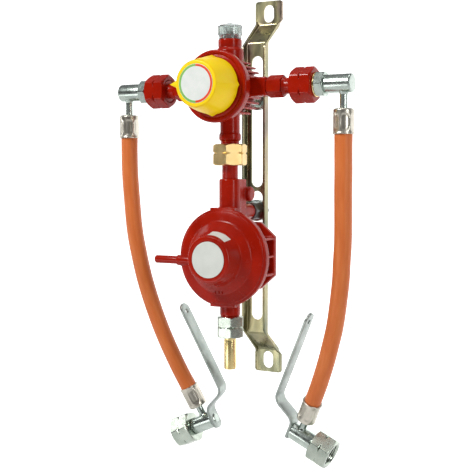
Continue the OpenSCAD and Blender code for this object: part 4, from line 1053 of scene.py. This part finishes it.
    def make_lever(self) -> bpy.types.Object:
        """The hand lever: a strip bent three times, with a round foot and a round tip.

        The strip's middle line runs up the elbow's end, steps out and runs up again. Across it the
        half width is 8, or sqrt(R^2 - s^2) near the foot's centre and the tip's.

        Returns:
            The lever.
        """
        off, top = self.lever_offset, self.lever_h
        corners = [(0, -10.5), (0, 13.5), (4 - off, 22.0), (-off, 27.5), (-off, top)]
        line = rounded_path(corners, 7.0, 9)
        length = np.concatenate([[0], np.cumsum(np.linalg.norm(np.diff(line, axis=0), axis=1))])
        s = np.concatenate([
            10.5 - 10.5 * np.cos(np.linspace(0, np.pi / 2, 14)), np.linspace(10.8, length[-1] - 8.0, 96),
            length[-1] - 8.0 + 8.0 * np.sin(np.linspace(0, np.pi / 2, 14)),
        ])
        s = np.unique(np.round(s, 4))
        middle = np.stack([np.interp(s, length, line[:, 0]), np.zeros_like(s),
                           np.interp(s, length, line[:, 1])], -1)
        foot = np.sqrt(np.clip(10.5**2 - (s - 10.5) ** 2, 0, None))
        neck = np.where(s < 10.5, foot, np.maximum(np.where(s < 21, foot, 0), self.lever_w / 2))
        tip = np.sqrt(np.clip(64 - np.clip(s - (length[-1] - 8.0), 0, 8) ** 2, 0, None))
        half = np.maximum(np.minimum(neck, tip), 0.35)
        tangent, u, v = frames_along(middle, (0.0, 1.0, 0.0))
        t = self.lever_t / 2
        outline = rounded_rectangle(2.0, 2 * t, 0.55, 4)
        side = np.sign(outline[:, 0])
        across = side[None, :] * (half[:, None] - 1 + np.abs(outline[None, :, 0]))
        rings = middle[:, None] + across[..., None] * u[:, None] + outline[None, :, 1:2] * v[:, None]
        swing = math.radians(-self.lever_swing)
        c, n = math.cos(swing), math.sin(swing)
        local = Placing((-9.5 - self.lever_t / 2, 0, -self.lower_axis), ((1, 0, 0), (0, c, n), (0, -n, c)))
        draft = Draft(self.name("lever_blank")).rings(rings, local.within(self.end))
        blank = draft.make(30)
        hole = Draft(self.name("lever_hole"))
        hole.turned([(2.5, -4.0), (2.5, 4.0)],
                    sideways(-off, 0, top - 9.0).within(local.within(self.end)), sides=40)
        cutter = hole.make()
        cut = blank.modifiers.new("hole", "BOOLEAN")
        cut.operation, cut.solver, cut.object = "DIFFERENCE", "EXACT", cutter
        mesh = bpy.data.meshes.new_from_object(blank.evaluated_get(bpy.context.evaluated_depsgraph_get()))
        blank.modifiers.clear()
        blank.data = mesh
        bpy.data.objects.remove(cutter)
        mesh.set_sharp_from_angle(angle=math.radians(40))
        return Workshop.fit(blank, LEVER_ZINC, BODY, self.name("lever"))


# ---------------------------------------------------------------- wall bracket


@dataclass
class WallBracket:
    """The folded sheet with its studs, nuts and washers."""

    sheet: float = 2.0
    half_width: float = 13.3
    half_foot: float = 15.75
    bend: float = 3.2
    slot_half: float = 6.5
    slot: tuple = (2.0, 136.0)
    foot_slot_half: float = 6.0
    foot_slot: tuple = (173.5, 191.5)
    upper_stud: float = 92.0
    lower_stud: float = -22.0

    @staticmethod
    def eased(z: np.ndarray, knots: Sequence[float], values: Sequence[float], soft: float) -> np.ndarray:
        """Straight lines through knots, averaged over z - soft to z + soft so that they bend softly."""
        shift = np.linspace(-soft, soft, 9)[:, None]
        return np.interp(np.abs(z[None] + shift), knots, values).mean(0)

    def slot_edge(self, z: np.ndarray) -> np.ndarray:
        """Half width of the opening at each height: r, or sqrt(r^2 - d^2) in a round end, or 0."""
        z = np.abs(z)
        out = np.zeros_like(z)
        for (low, high), r in ((self.slot, self.slot_half), (self.foot_slot, self.foot_slot_half)):
            d = np.clip(np.maximum(low + r - z, z - high + r), 0, None)
            half = np.sqrt(np.clip(r * r - d * d, 0, None))
            out = np.maximum(out, np.where((z >= low) & (z <= high), half, 0))
        return out

    def heights(self) -> np.ndarray:
        """The heights of the sections, close together round the slots' ends and the bends."""
        arc = 1 - np.cos(np.linspace(0, np.pi / 2, 15))
        lines = [np.linspace(0, 2, 3), np.linspace(8.5, 129.5, 40)]
        lines += [np.linspace(136, 178, 64), np.linspace(184, 195.5, 30)]
        for (low, high), r in ((self.slot, self.slot_half), (self.foot_slot, self.foot_slot_half)):
            lines += [low + r * arc, high - r * arc]
        up = np.unique(np.round(np.concatenate(lines), 4))
        return np.concatenate([-up[:0:-1], up])

    def half_sheet(self, draft: Draft, sign: float) -> None:
        """Adds one half of the sheet, from the slots' edge to the flange's front.

        Each section is the back line of the web, the outside of the bend, the flange and the same
        way back inside it, at a constant height.

        Args:
            draft: the bracket.
            sign: 1 for the right half, -1 for the left.
        """
        z = self.heights()
        back = self.eased(z, [0, 149.5, 169.0, 300], [-26, -26, 0, 0], 1.6)
        front = self.eased(z, [0, 150.5, 170.0, 300], [-28, -28, -2, -2], 1.6)
        tip = np.minimum(self.eased(z, [0, 145.5, 175.0, 300], [-36.5, -36.5, -2, -2], 2.0), front)
        wide = np.interp(np.abs(z), [0, 171, 176, 192.5], [self.half_width] * 2 + [self.half_foot] * 2)
        over = np.clip(np.abs(z) - 192.5, 0, 3)
        wide = wide - 3 * (over > 0) + np.where(over > 0, np.sqrt(np.clip(9 - over**2, 0, None)), 0)
        edge = self.slot_edge(z)
        outer = np.clip(back - tip - (back - front), 0.25, self.bend)
        inner = np.clip(outer - self.sheet, 0.05, None)
        a = np.linspace(0, np.pi / 2, 6)
        columns = [(edge, back), (0.5 * (edge + wide - outer), back)]
        columns += [(wide - outer + outer * math.sin(t), back - outer + outer * math.cos(t)) for t in a]
        columns += [(wide, tip + 0.3), (wide - 0.3, tip)]
        columns += [(wide - self.sheet + 0.3, tip), (wide - self.sheet, tip + 0.3)]
        fold = wide - self.sheet - inner
        rise = np.maximum(front - inner, tip)
        columns += [(fold + inner * math.sin(t), rise + inner * math.cos(t)) for t in a[::-1]]
        columns += [(0.5 * (edge + wide - outer), front), (edge, front)]
        xs = np.stack([np.maximum(np.broadcast_to(c[0], z.shape), edge) for c in columns], 1)
        ys = np.stack([np.broadcast_to(c[1], z.shape) for c in columns], 1)
        flat = (tip > front - 0.6)[:, None]
        ys = np.where(flat & (ys < front[:, None]), front[:, None], ys)
        rings = np.stack([sign * xs, ys, np.repeat(z[:, None], xs.shape[1], 1)], -1)
        draft.rings(rings)

    def build(self) -> None:
        """Makes and dresses the bracket and everything bolted to it."""
        draft = Draft("folded_bracket")
        self.half_sheet(draft, 1.0)
        self.half_sheet(draft, -1.0)
        Workshop.fit(draft.make(28), CHROMATE, BODY, "bracket")
        studs = Draft("threaded_studs")
        for z, r, tip, pitch in ((self.upper_stud, 4.0, -74.5, 1.25), (self.lower_stud, 5.0, -55.5, 1.5)):
            threaded_rod(studs, r, pitch, 0.0, -16.0 - tip, backwards(0, tip, z))
        Workshop.fit(studs.make(50), ZINC, BODY, "mounting_studs")
        self.nuts("upper_nuts", 13.0, 4.0, self.upper_stud, 14.0, ZINC, "upper_stud_nuts")
        self.nuts("lower_nuts", 17.0, 5.0, self.lower_stud, 16.0, DARK_ZINC, "lower_stud_nuts")
        washers = Draft("flat_washers")
        for z, hole in ((self.upper_stud, 4.2), (self.lower_stud, 5.2)):
            for y in (-29.6, -26.0):
                ring = [(hole, 0.1), (hole + 0.2, 0), (10.8, 0), (11.1, 0.3), (11.1, 1.3), (10.8, 1.6),
                        (hole + 0.2, 1.6),
                        (hole, 1.5)]
                washers.turned(ring, backwards(0, y, z), hollow=True)
        Workshop.fit(washers.make(), ZINC, BODY, "stud_washers")

    def nuts(
        self, name: str, across: float, bore: float, z: float, front: float, finish: Finish, node: str
    ) -> None:
        """Adds the long nut in front of the web and the short one behind it.

        Args:
            name: name of the pair.
            across: width across flats.
            bore: radius of the stud.
            z: height of the stud.
            front: length of the front nut.
            finish: finish of the pair.
            node: the node that the pair replaces.
        """
        draft = Draft(name)
        for y, length in ((-29.6 - front, front), (-24.4, 6.5)):
            draft.hexagonal(nut_profile(across, 0, length, bore + 0.1), across, backwards(0, y, z))
        Workshop.fit(draft.make(14), finish, BODY, node)


# ---------------------------------------------------------------- changeover valve


@dataclass
class ChangeoverValve:
    """The upper valve with its knob, indicator and two inlet arms."""

    rib_r: float = 29.0
    core_r: float = 23.5
    back: float = 14.0
    bonnet_r: float = 34.5
    knob_back: float = 33.0
    knob_len: float = 32.0
    knob_front_r: float = 21.5
    knob_base_r: float = 27.5
    fin_r: float = 28.7
    face_r: float = 18.0

    def at(self, placing: Callable[[float, float, float], Placing], f: float = 0.0) -> Placing:
        """A placing with its origin on the valve's axis, f in front of the pipe axis."""
        return placing(0, PIPE_Y - f, VALVE_Z)

    def body(self) -> None:
        """The ribbed casting."""
        draft = Draft("valve_casting")
        ahead = self.at(forwards)
        draft.turned([(self.core_r - 1, -self.back), (self.core_r, -self.back + 1), (self.core_r, 14.6),
                      (28.6, 15.0), (32.6, 19.0), (33.0, 20.0), (33.0, 23.6), (32.6, 24.45)], ahead)
        for side in (-1, 1):
            for k in range(4):
                z = side * (self.rib_r - 4.8 - 4.8 * k)
                half = math.sqrt(self.rib_r**2 - z * z)
                draft.block((-half, PIPE_Y - 20, VALVE_Z + z - 1.1),
                            (half, PIPE_Y + self.back, VALVE_Z + z + 1.1), 0.5)
            low, high = sorted((0.0, side * 43.5))
            draft.block((low, PIPE_Y - 9, VALVE_Z - 9), (high, PIPE_Y + 9, VALVE_Z + 9), 1.2)
        draft.turned([(13.2, 0), (13.4, 36.0), (12.9, 37.2), (11.3, 38.6), (11.1, 39.7), (11.5, 40.7),
                      (11.5, 46.8),
                      (11.2, 47.2)], self.at(upwards))
        draft.turned([(9.6, 0), (9.6, 43.4), (10.8, 44.6), (10.8, 49.9), (8.9, 51.2), (8.9, 54.5),
                      (10.7, 54.5),
                      (10.7, 62.2), (10.0, 63.0)], self.at(downwards))
        draft.turned([(8.0, 0), (8.0, 19.3), (7.3, 20.0)], backwards(0, PIPE_Y, 92.0))
        Workshop.fit(cast(draft, 0.65, 5), RED, BODY, "valve_body")

    def bonnet(self) -> None:
        """The bonnet's ring and dome."""
        r = self.bonnet_r
        profile = rounded_path(
            [(21.0, 24.6), (r - 1.2, 24.6), (r, 25.6), (r, 30.0), (r - 0.8, 31.5), (r - 3.4, 31.5),
             (r - 4.2, 30.6),
             (r - 5.4, 30.6), (r - 6.2, 31.2), (23.5, 31.4), (19.6, 32.6), (19.0, 34.0), (19.0,
                                                                                          51.5), (17.5, 53.8),
             (4.4, 54.0)], 0.9, 5)
        draft = Draft("valve_cover").turned(profile, self.at(forwards), sides=160)
        Workshop.fit(draft.make(28), RED, BODY, "valve_bonnet")

    def knob(self) -> None:
        """The knob: a bulging cone with a pointer on the left and three fins that rise to the base.

        Beside a fin the radius is c + (tip - c) * (1 - a / w)^1.3, where a is the angle from the fin,
        w its half width and c the cone's radius. The pointer's tip keeps one radius. The other tips
        run straight from just over the front rim to the base.
        """
        angles = circle(360)
        t = np.linspace(0, 1, 40)
        cone = self.knob_front_r + (self.knob_base_r - 0.5 - self.knob_front_r) * (1 - t**1.6)
        height = self.knob_back + self.knob_len * t
        sloped = np.minimum(self.fin_r, self.fin_r - (self.fin_r - self.knob_front_r - 0.4) * (t * 1.08 - 0.08))
        level = np.full_like(t, self.fin_r)
        radius = np.repeat(cone[:, None], len(angles), 1)
        fins = ((0, 8, sloped), (90, 10, sloped), (180, 9, level), (270, 10, sloped))
        for centre, width, tip in fins:
            a = np.abs((angles - math.radians(centre) + np.pi) % (2 * np.pi) - np.pi)[None, :]
            share = np.clip(1 - a / math.radians(width), 0, 1) ** 1.3
            radius = np.maximum(radius, cone[:, None] + np.clip(tip - cone, 0, None)[:, None] * share)
        s = np.linspace(0, np.pi / 2, 7)[1:]
        rim = 1.6
        front = height[-1]
        height[-1] = front - rim
        lip = [radius[-1] - rim * (1 - math.cos(a)) for a in s]
        rows = list(zip(radius, height)) + [(lip[i], front - rim + rim * math.sin(a)) for i, a in enumerate(s)]
        flat = [self.face_r + 1.2, self.face_r + 0.3, self.face_r + 0.1, self.face_r + 0.1, 6.0]
        steps = [front, front - 0.05, front - 0.3, front - 0.75, front - 0.75]
        rows += [(np.full(360, r), h) for r, h in zip(flat, steps)]
        rows += [(np.full(360, 6.0), front - 3.0), (np.full(360, 4.1), front - 4.0),
                 (np.full(360, 4.1), 54.6),
                 (np.full(360, 19.4), 54.4), (np.full(360, 20.4), self.knob_back + 0.1)]
        rows[0] = (radius[0] - 0.6, self.knob_back)
        rows.insert(1, (radius[0], self.knob_back + 0.6))
        radii, levels = np.array([r for r, _ in rows]), np.array([h for _, h in rows])
        rings = ring_stack(radii, levels, angles)
        draft = Draft("finned_knob").rings(rings, self.at(forwards), joined=True)
        Workshop.fit(draft.make(40), YELLOW, "changeover_knob", "changeover_knob")
        face = Draft("knob_dial").turned(
            [(17.6, 64.27), (17.9, 64.32), (18.0, 64.5), (18.0, 64.95), (17.7, 65.08),
             (17.0, 65.1)], self.at(forwards),
            sides=160)
        dial = DialFace("knob_dial_print", "plain_label", (0.0, PIPE_Y, VALVE_Z))
        Workshop.fit(face.make(), dial, "changeover_knob", "knob_face")

    def indicator(self) -> None:
        """The clear fluted cap over the reserve indicator.

        Its radius dips by 0.6 * max(0, cos(12 a))^8 at twelve flutes.
        """
        angles = circle(144)
        outside = rounded_path([(8.9, 47.2), (10.6, 47.2), (10.8, 47.6), (10.8, 50.4), (11.9, 51.6),
                                (12.0, 59.8),
                                (11.1, 60.8), (3.8, 60.9), (3.4, 61.4), (3.3, 62.4), (2.4, 62.8), (0.4,
                                                                                                   62.8)], 0.5, 4)
        flute = 0.6 * np.clip(np.cos(12 * angles), 0, 1) ** 8
        depth = (np.clip((outside[:, 1] - 51.2) / 0.8, 0, 1) * (outside[:, 0] > 9))[:, None]
        radius = outside[:, :1] - depth * flute[None]
        inside = np.array([(0.4, 59.3), (9.2, 59.3), (9.6, 58.9), (9.6, 48.3), (9.3, 48.2), (8.9, 48.2)])
        rings = [ring_stack(radius, outside[:, 1], angles), ring_stack(inside[:, :1], inside[:, 1], angles)]
        draft = Draft("clear_fluted_cap").rings(np.vstack(rings), self.at(upwards), joined=True)
        Workshop.fit(draft.make(), CLEAR, BODY, "indicator_cap")
        Workshop.dress_all(indicator_collar=COLLAR, indicator_plunger=NICKEL, indicator_spring=WIRE)

    def arms(self) -> None:
        """The inlet fittings, union nuts, seals and thrust rings on both sides."""
        for side in Side:
            arm = side.place(sideways(0, PIPE_Y, VALVE_Z))
            fitting = Draft(f"{side.value}_fitting_body")
            fitting.hexagonal(nut_profile(19, 43.5, 59.2, 3.6), 19, arm)
            neck = rounded_path([(3.6, 58.5), (9.0, 58.5), (8.6, 60.0), (7.6, 61.8), (7.6, 70.2),
                                 (10.7, 70.2),
                                 (10.8, 70.6), (10.8, 83.0), (10.2, 83.8), (3.6, 83.8)], 0.4, 3)
            fitting.turned(neck, arm, sides=80)
            Workshop.fit(fitting.make(20), RED, BODY, f"{side.value}_inlet_fitting")
            inwards = side.place(Placing((91.5, PIPE_Y, VALVE_Z), ((0, 0, 1), (0, 1, 0), (-1, 0, 0))))
            profile = nut_profile(30, 0, 22, 8.3, 11.0)
            profile = np.vstack([profile[:-2], [[12.0, 22.0], [10.95, 20.9], [10.95, 7.7], [11.3, 7.7],
                                                [11.3, 3.5],
                                                [8.3, 3.5]]])
            nut = Draft(f"{side.value}_union_nut_body")
            nut.hexagonal(profile, 30, inwards)
            Workshop.fit(nut.make(14), RED, f"{side.value}_union_nut", f"{side.value}_union_nut")
            Workshop.dress(f"{side.value}_poppet", BRIGHT_BRASS)
        rings = Draft("thrust_collars")
        for side in Side:
            ring = rounded_path([(8.05, 91.8), (11.2, 91.8), (11.6, 92.3), (11.6, 92.8), (11.2, 93.2),
                                 (8.05, 93.2)], 0.3, 3)
            rings.turned(ring, side.place(sideways(0, PIPE_Y, VALVE_Z)), hollow=True)
        Workshop.fit(rings.make(), BRIGHT_BRASS, BODY, "thrust_rings")
        Workshop.dress("union_seals", BLACK_RUBBER)
        Workshop.dress("poppet_springs", WIRE)

    def inside(self) -> None:
        """The diaphragm, its plate and spring, and the knob's spindle."""
        Workshop.dress_all(valve_diaphragm=BLACK_RUBBER, valve_plate=ZINC, valve_spring=WIRE,
                           knob_spindle=ZINC)

    def build(self) -> None:
        """Makes and dresses the whole valve."""
        self.body()
        self.bonnet()
        self.knob()
        self.indicator()
        self.arms()
        self.inside()


# ---------------------------------------------------------------- pipe line and lower regulator


@dataclass
class PipeLine:
    """The brass nut, the seal and the short pipe between the two regulators."""

    across: float = 30.0
    low: float = 24.0
    high: float = 45.0

    def build(self) -> None:
        """Makes and dresses the pipe line."""
        axis = upwards(0, PIPE_Y, 0)
        draft = Draft("brass_centre_nut")
        profile = nut_profile(self.across, self.low, self.high, 8.1, self.low + 12.0)
        profile = np.vstack([profile[:-2], [[11.3, 45.0], [10.95, 44.6], [10.95, 30.5], [8.1, 30.5]]])
        draft.hexagonal(profile, self.across, axis.turned(CENTRE_NUT_TURN))
        Workshop.fit(draft.make(14), SATIN_BRASS, "centre_nut", "centre_nut")
        pipe = rounded_path([(5.0, -8.0), (7.8, -8.0), (7.8, 30.7), (10.5, 30.7), (10.5, 34.5),
                             (5.0, 34.5)], 0.3, 3)
        Workshop.fit(Draft("short_red_pipe").turned(pipe, axis, hollow=True).make(), RED, BODY, "inlet_pipe")
        Workshop.dress("centre_seal", BLACK_RUBBER)


@dataclass
class LowPressureRegulator:
    """The lower regulator with its cover, bowl, vent and outlet."""

    rear_w: float = 76.0
    rear_h: float = 67.0
    vent_f: float = 15.2
    vent_z: float = -4.5

    def at(self, placing: Callable[[float, float, float], Placing]) -> Placing:
        """A placing with its origin on the regulator's axis."""
        return placing(0, PIPE_Y, REGULATOR_Z)

    def cover_profile(self) -> np.ndarray:
        """Radius and height pairs of the cover, from its rim to its nose."""
        return rounded_path(
            [(20.0, 11.05), (47.4, 11.05), (48.0, 11.6), (48.0, 15.4), (47.3, 16.5), (45.9, 16.7),
             (45.2, 17.9),
             (42.2, 18.7), (36.6, 20.0), (35.3, 20.5), (34.6, 21.5), (31.6, 23.9), (28.7, 26.1), (27.5, 27.1),
             (26.7, 29.0), (25.7, 32.5), (24.8, 35.6), (23.7, 39.4), (22.8, 42.4), (21.9, 43.4), (20.6, 43.6),
             (18.1, 43.6), (17.9, 43.15), (0.4, 43.15)], 0.4, 5)

    def cover(self) -> None:
        """The stepped cover with its pads, vent boss and plain plates."""
        draft = Draft("stepped_cover").turned(self.cover_profile(), self.at(forwards), sides=200)
        for side in (-1, 1):
            z = REGULATOR_Z + side * 48.5
            low, high = sorted((z, z - side * 9))
            draft.block((-13.5, PIPE_Y - 16.2, low), (13.5, PIPE_Y - 11.05, high), 0.6)
        vent = Placing((0, PIPE_Y - self.vent_f, REGULATOR_Z + self.vent_z),
                       ((0, 0, 1), (0, 1, 0), (-1, 0, 0)))
        draft.turned(rounded_path([(0.5, 34), (5.8, 34), (5.8, 46.5), (5.3, 48.0), (5.3, 50.4),
                                   (4.7, 51.0), (0.5, 51.0)],
                                  0.6, 4), vent, sides=48)
        Workshop.fit(draft.make(30), RED, BODY, "regulator_cover")
        marks = Draft("cast_marks")
        for x in (-3.8, 0.0, 3.8):
            marks.prism(rounded_rectangle(0.8, 4.2, 0.3) + [x, -32.6], 20.5, 23.7, self.at(forwards), 0.25)
        Workshop.fit(marks.make(), RED, BODY)
        tube = rounded_path([(2.0, 44.0), (3.7, 44.0), (3.7, 51.0), (4.0, 51.0), (4.0, 76.2),
                             (3.3, 77.0), (2.2, 77.0),
                             (2.0, 76.6)], 0.4, 4)
        Workshop.fit(Draft("vent_stub").turned(tube, vent, sides=56, hollow=True).make(), RED, BODY,
                     "vent_tube")
        plate = [(17.0, 43.17), (17.35, 43.2), (17.45, 43.35), (17.45, 43.6), (17.2, 43.68), (16.6, 43.7)]
        Workshop.fit(Draft("round_plate").turned(plate, self.at(forwards), sides=160).make(),
                     PLAIN_LABEL, BODY,
                     "rating_plate")
        self.sticker()

    def sticker(self) -> None:
        """The small plain sticker on top of the nose.

        It is the patch of the nose's cone with |a - a0| <= A and |h - H| <= B, raised by 0.14 mm.
        """
        profile = self.cover_profile()
        mid, half_h, half_a = 35.4, 4.6, math.radians(24)
        u = np.linspace(-1, 1, 33)
        v = np.linspace(-1, 1, 9)
        angle, height = np.meshgrid(math.radians(71) + half_a * u, mid + half_h * v)
        order = np.argsort(profile[:, 1])
        outside = profile[order]
        outside = outside[(outside[:, 0] > 21.5) & (outside[:, 1] > 26)]
        base = np.interp(height, outside[:, 1], outside[:, 0])
        top = np.stack([(base + 0.14) * np.cos(angle), (base + 0.14) * np.sin(angle), height], -1)
        under = np.stack([(base - 0.2) * np.cos(angle), (base - 0.2) * np.sin(angle), height], -1)
        loop = np.concatenate([top.transpose(1, 0, 2), under.transpose(1, 0, 2)[:, ::-1]], 1)
        draft = Draft("plain_sticker").rings(loop, self.at(forwards))
        Workshop.fit(draft.make(50), PLAIN_LABEL, BODY)

    def bowl(self) -> None:
        """The casting behind the joint: bowl, rear plate, ribs, inlet, boss and outlet."""
        draft = Draft("regulator_casting")
        ahead = self.at(forwards)
        draft.turned([(27.0, -16.0), (29.0, -15.0), (33.0, -12.0), (40.6, -0.8), (43.2, 6.0),
                      (44.6, 7.0), (46.6, 7.0),
                      (47.2, 7.6), (47.2, 10.4), (46.8, 10.95)], ahead, sides=160)
        w, h = self.rear_w / 2, self.rear_h / 2
        octagon = np.array([(w, -h + 14), (w, h - 14), (w - 16, h), (16 - w, h), (-w, h - 14), (-w, 14 - h),
                            (16 - w, -h), (w - 16, -h)])
        draft.prism(octagon, 0, 6.0, Placing((0, PIPE_Y + 27, REGULATOR_Z),
                                             ((1, 0, 0), (0, 0, 1), (0, -1, 0))), 0.9)
        draft.turned([(26, 12), (26, 23)], self.at(backwards))
        for z in (-17.5, 0, 17.5):
            draft.block((-37.6, PIPE_Y + 2, REGULATOR_Z + z - 1.3),
                        (37.6, PIPE_Y + 22, REGULATOR_Z + z + 1.3), 0.5)
        for x in (-19, 19):
            draft.block((x - 1.3, PIPE_Y + 4, REGULATOR_Z - 31.5),
                        (x + 1.3, PIPE_Y + 22, REGULATOR_Z + 31.5), 0.5)
        for side in (-1, 1):
            z = REGULATOR_Z + side * 48.5
            low, high = sorted((z, z - side * 9))
            draft.block((-13.5, PIPE_Y - 10.95, low), (13.5, PIPE_Y - 7.0, high), 0.6)
        draft.turned([(10.7, 28), (10.7, 75.6), (9.9, 76.5)], self.at(upwards))
        draft.block((-9.5, PIPE_Y, REGULATOR_Z + 28), (9.5, PIPE_Y + 17, REGULATOR_Z + 76.3), 1.0)
        boss = sideways(0, PIPE_Y + 20, REGULATOR_Z + 61.5)
        draft.turned([(5.2, -14.0), (6.4, -13.6), (7.3, -12.4), (7.3, 12.4), (6.4, 13.6), (5.2, 14.0)], boss)
        draft.turned([(8, 0), (8, 38.2), (7.2, 39.0)], backwards(0, PIPE_Y, -22.0))
        draft.turned([(10, 28), (10, 57.6), (9.0, 58.6), (9.0, 69.3), (8.2, 70.0)], self.at(downwards))
        Workshop.fit(cast(draft, 0.75, 5), RED, BODY, "regulator_body")

    def outlet(self) -> None:
        """The outlet nut, compression ring and brass tube."""
        down = self.at(downwards)
        profile = nut_profile(25, 59, 80, 6.3, 69.5)
        profile = np.vstack([profile[:-2], [[6.3, 80.0], [6.3, 76.8], [9.05, 76.8], [9.05, 59.2]]])
        draft = Draft("outlet_nut_body")
        draft.hexagonal(profile, 25, down.turned(OUTLET_NUT_TURN))
        Workshop.fit(draft.make(14), ZINC_MATT, "outlet_nut", "outlet_nut")
        tube = rounded_path([(4.5, 66.0), (5.7, 66.0), (5.7, 80.0), (6.0, 80.2), (6.0, 82.0),
                             (5.75, 82.4), (5.75, 83.0),
                             (6.0, 83.4), (6.0, 111.4), (5.4, 112.0), (4.8, 112.0), (4.5, 111.6)], 0.3, 3)
        Workshop.fit(Draft("brass_outlet").turned(tube, down, sides=72, hollow=True).make(),
                     BRIGHT_BRASS, BODY,
                     "outlet_stub")
        Workshop.dress("compression_ring", BRIGHT_BRASS)

    def inside(self) -> None:
        """The pieces inside the regulator."""
        Workshop.dress_all(
            regulator_diaphragm=BLACK_RUBBER, regulator_plate=ZINC, regulator_spring=WIRE,
            spring_adjuster=BRIGHT_BRASS, valve_lever=ZINC, lever_pin=ZINC, valve_piston=BRIGHT_BRASS,
            valve_seat=BRIGHT_BRASS)

    def build(self) -> None:
        """Makes and dresses the whole regulator."""
        self.bowl()
        self.cover()
        self.outlet()
        self.inside()


# ---------------------------------------------------------------- studio


@dataclass
class Studio:
    """Camera, pale floor and backdrop, and soft lights."""

    lens: float = 74.7
    camera_at: tuple = (467.7, -922.2, 19.4)
    camera_turn: tuple = (86.2, 0.0, 28.9)

    def camera(self) -> None:
        """The camera at the viewing angle."""
        data = bpy.data.cameras.new("view")
        data.lens = self.lens
        data.sensor_width = 36.0
        data.clip_start = 0.01
        obj = bpy.data.objects.new("view", data)
        obj.location = [c * METRE for c in self.camera_at]
        obj.rotation_euler = [math.radians(a) for a in self.camera_turn]
        bpy.context.scene.collection.objects.link(obj)
        bpy.context.scene.camera = obj

    def sheet(self, name: str, corners: Sequence[Sequence[float]], tone: float, glow: float) -> None:
        """Adds a large plain sheet that isn't part of the object.

        Args:
            name: the sheet's name.
            corners: its corners, in millimetres.
            tone: how pale it is.
            glow: how bright it shines by itself.
        """
        mesh = bpy.data.meshes.new(name)
        mesh.from_pydata([tuple(c * METRE for c in p) for p in corners], [], [(0, 1, 2, 3)])
        obj = bpy.data.objects.new(name, mesh)
        bpy.context.scene.collection.objects.link(obj)
        sheet = NodeSheet(name)
        sheet.set(Base_Color=(tone, tone, tone, 1), Roughness=0.9, Emission_Color=(1, 1, 1, 1),
                  Emission_Strength=glow)
        mesh.materials.append(sheet.material)

    def lamp(self, name: str, at: Sequence[float], aim: Sequence[float], size: tuple, power: float) -> None:
        """Adds a soft box that points at a spot.

        Args:
            name: the lamp's name.
            at: its place, in millimetres.
            aim: the spot that it points at.
            size: its width and height.
            power: its power in watts.
        """
        data = bpy.data.lights.new(name, "AREA")
        data.shape = "RECTANGLE"
        data.size, data.size_y = size[0] * METRE, size[1] * METRE
        data.energy = power
        obj = bpy.data.objects.new(name, data)
        obj.location = [c * METRE for c in at]
        ray = np.array(aim, float) - np.array(at, float)
        obj.rotation_euler = Vector(ray).to_track_quat("-Z", "Y").to_euler()
        bpy.context.scene.collection.objects.link(obj)

    def surroundings(self) -> None:
        """The even light round the set: bright below eye level, with a dim band over it.

        The tone is a ramp over the sine of the direction's height.
        """
        world = bpy.data.worlds.new("studio")
        world.use_nodes = True
        tree = world.node_tree
        place = tree.nodes.new("ShaderNodeTexCoord")
        split = tree.nodes.new("ShaderNodeSeparateXYZ")
        height = tree.nodes.new("ShaderNodeMapRange")
        height.inputs["From Min"].default_value = -1.0
        ramp = tree.nodes.new("ShaderNodeValToRGB")
        stops = [(0.0, 0.5), (0.40, 0.62), (0.47, 0.55), (0.52, 0.08), (0.62, 0.12), (1.0, 0.7)]
        while len(ramp.color_ramp.elements) < len(stops):
            ramp.color_ramp.elements.new(0.5)
        for element, (position, tone) in zip(ramp.color_ramp.elements, stops):
            element.position = position
            element.color = (tone, tone, tone * 1.02, 1)
        tree.links.new(place.outputs["Generated"], split.inputs[0])
        tree.links.new(split.outputs["Z"], height.inputs["Value"])
        tree.links.new(height.outputs["Result"], ramp.inputs["Fac"])
        tree.links.new(ramp.outputs["Color"], tree.nodes["Background"].inputs["Color"])
        tree.nodes["Background"].inputs["Strength"].default_value = 0.42
        bpy.context.scene.world = world

    def lights(self) -> None:
        """The sheets and the soft boxes."""
        back, ground, top = 1500, -1000, 1300
        self.sheet("backdrop", [(-4000, back, ground), (4000, back, ground), (4000, back, top),
                                (-4000, back, top)],
                   0.9, 0.98)
        self.sheet("floor", [(-4000, -3000, ground), (4000, -3000, ground), (4000, back, ground),
                             (-4000, back, ground)], 0.75, 0.3)
        self.lamp("key", (-450, -1000, 850), (0, -60, 0), (300, 300), 12.0)
        self.lamp("fill", (1000, -500, 250), (0, -60, 0), (160, 900), 4.0)
        self.lamp("top", (150, -150, 1200), (0, -60, 0), (600, 500), 2.6)
        self.lamp("left_edge", (-800, -150, 100), (0, -60, 0), (140, 900), 1.3)
        self.lamp("low_front", (-560, -1050, -420), (0, -60, -60), (620, 260), 1.5)
        self.surroundings()
        bpy.context.scene.view_settings.view_transform = "Standard"


def main() -> None:
    """Builds the studio and every sub-assembly in order."""
    studio = Studio()
    studio.camera()
    hoses = [HoseLine(side) for side in Side]
    for line in hoses:
        line.make_hose()
    for line in hoses:
        line.make_top()
        line.declare(line.make_bottom())
    Workshop.dress("cylinder_seals", BLACK_RUBBER)
    WallBracket().build()
    ChangeoverValve().build()
    PipeLine().build()
    LowPressureRegulator().build()
    studio.lights()


if __name__ == "__main__":
    main()
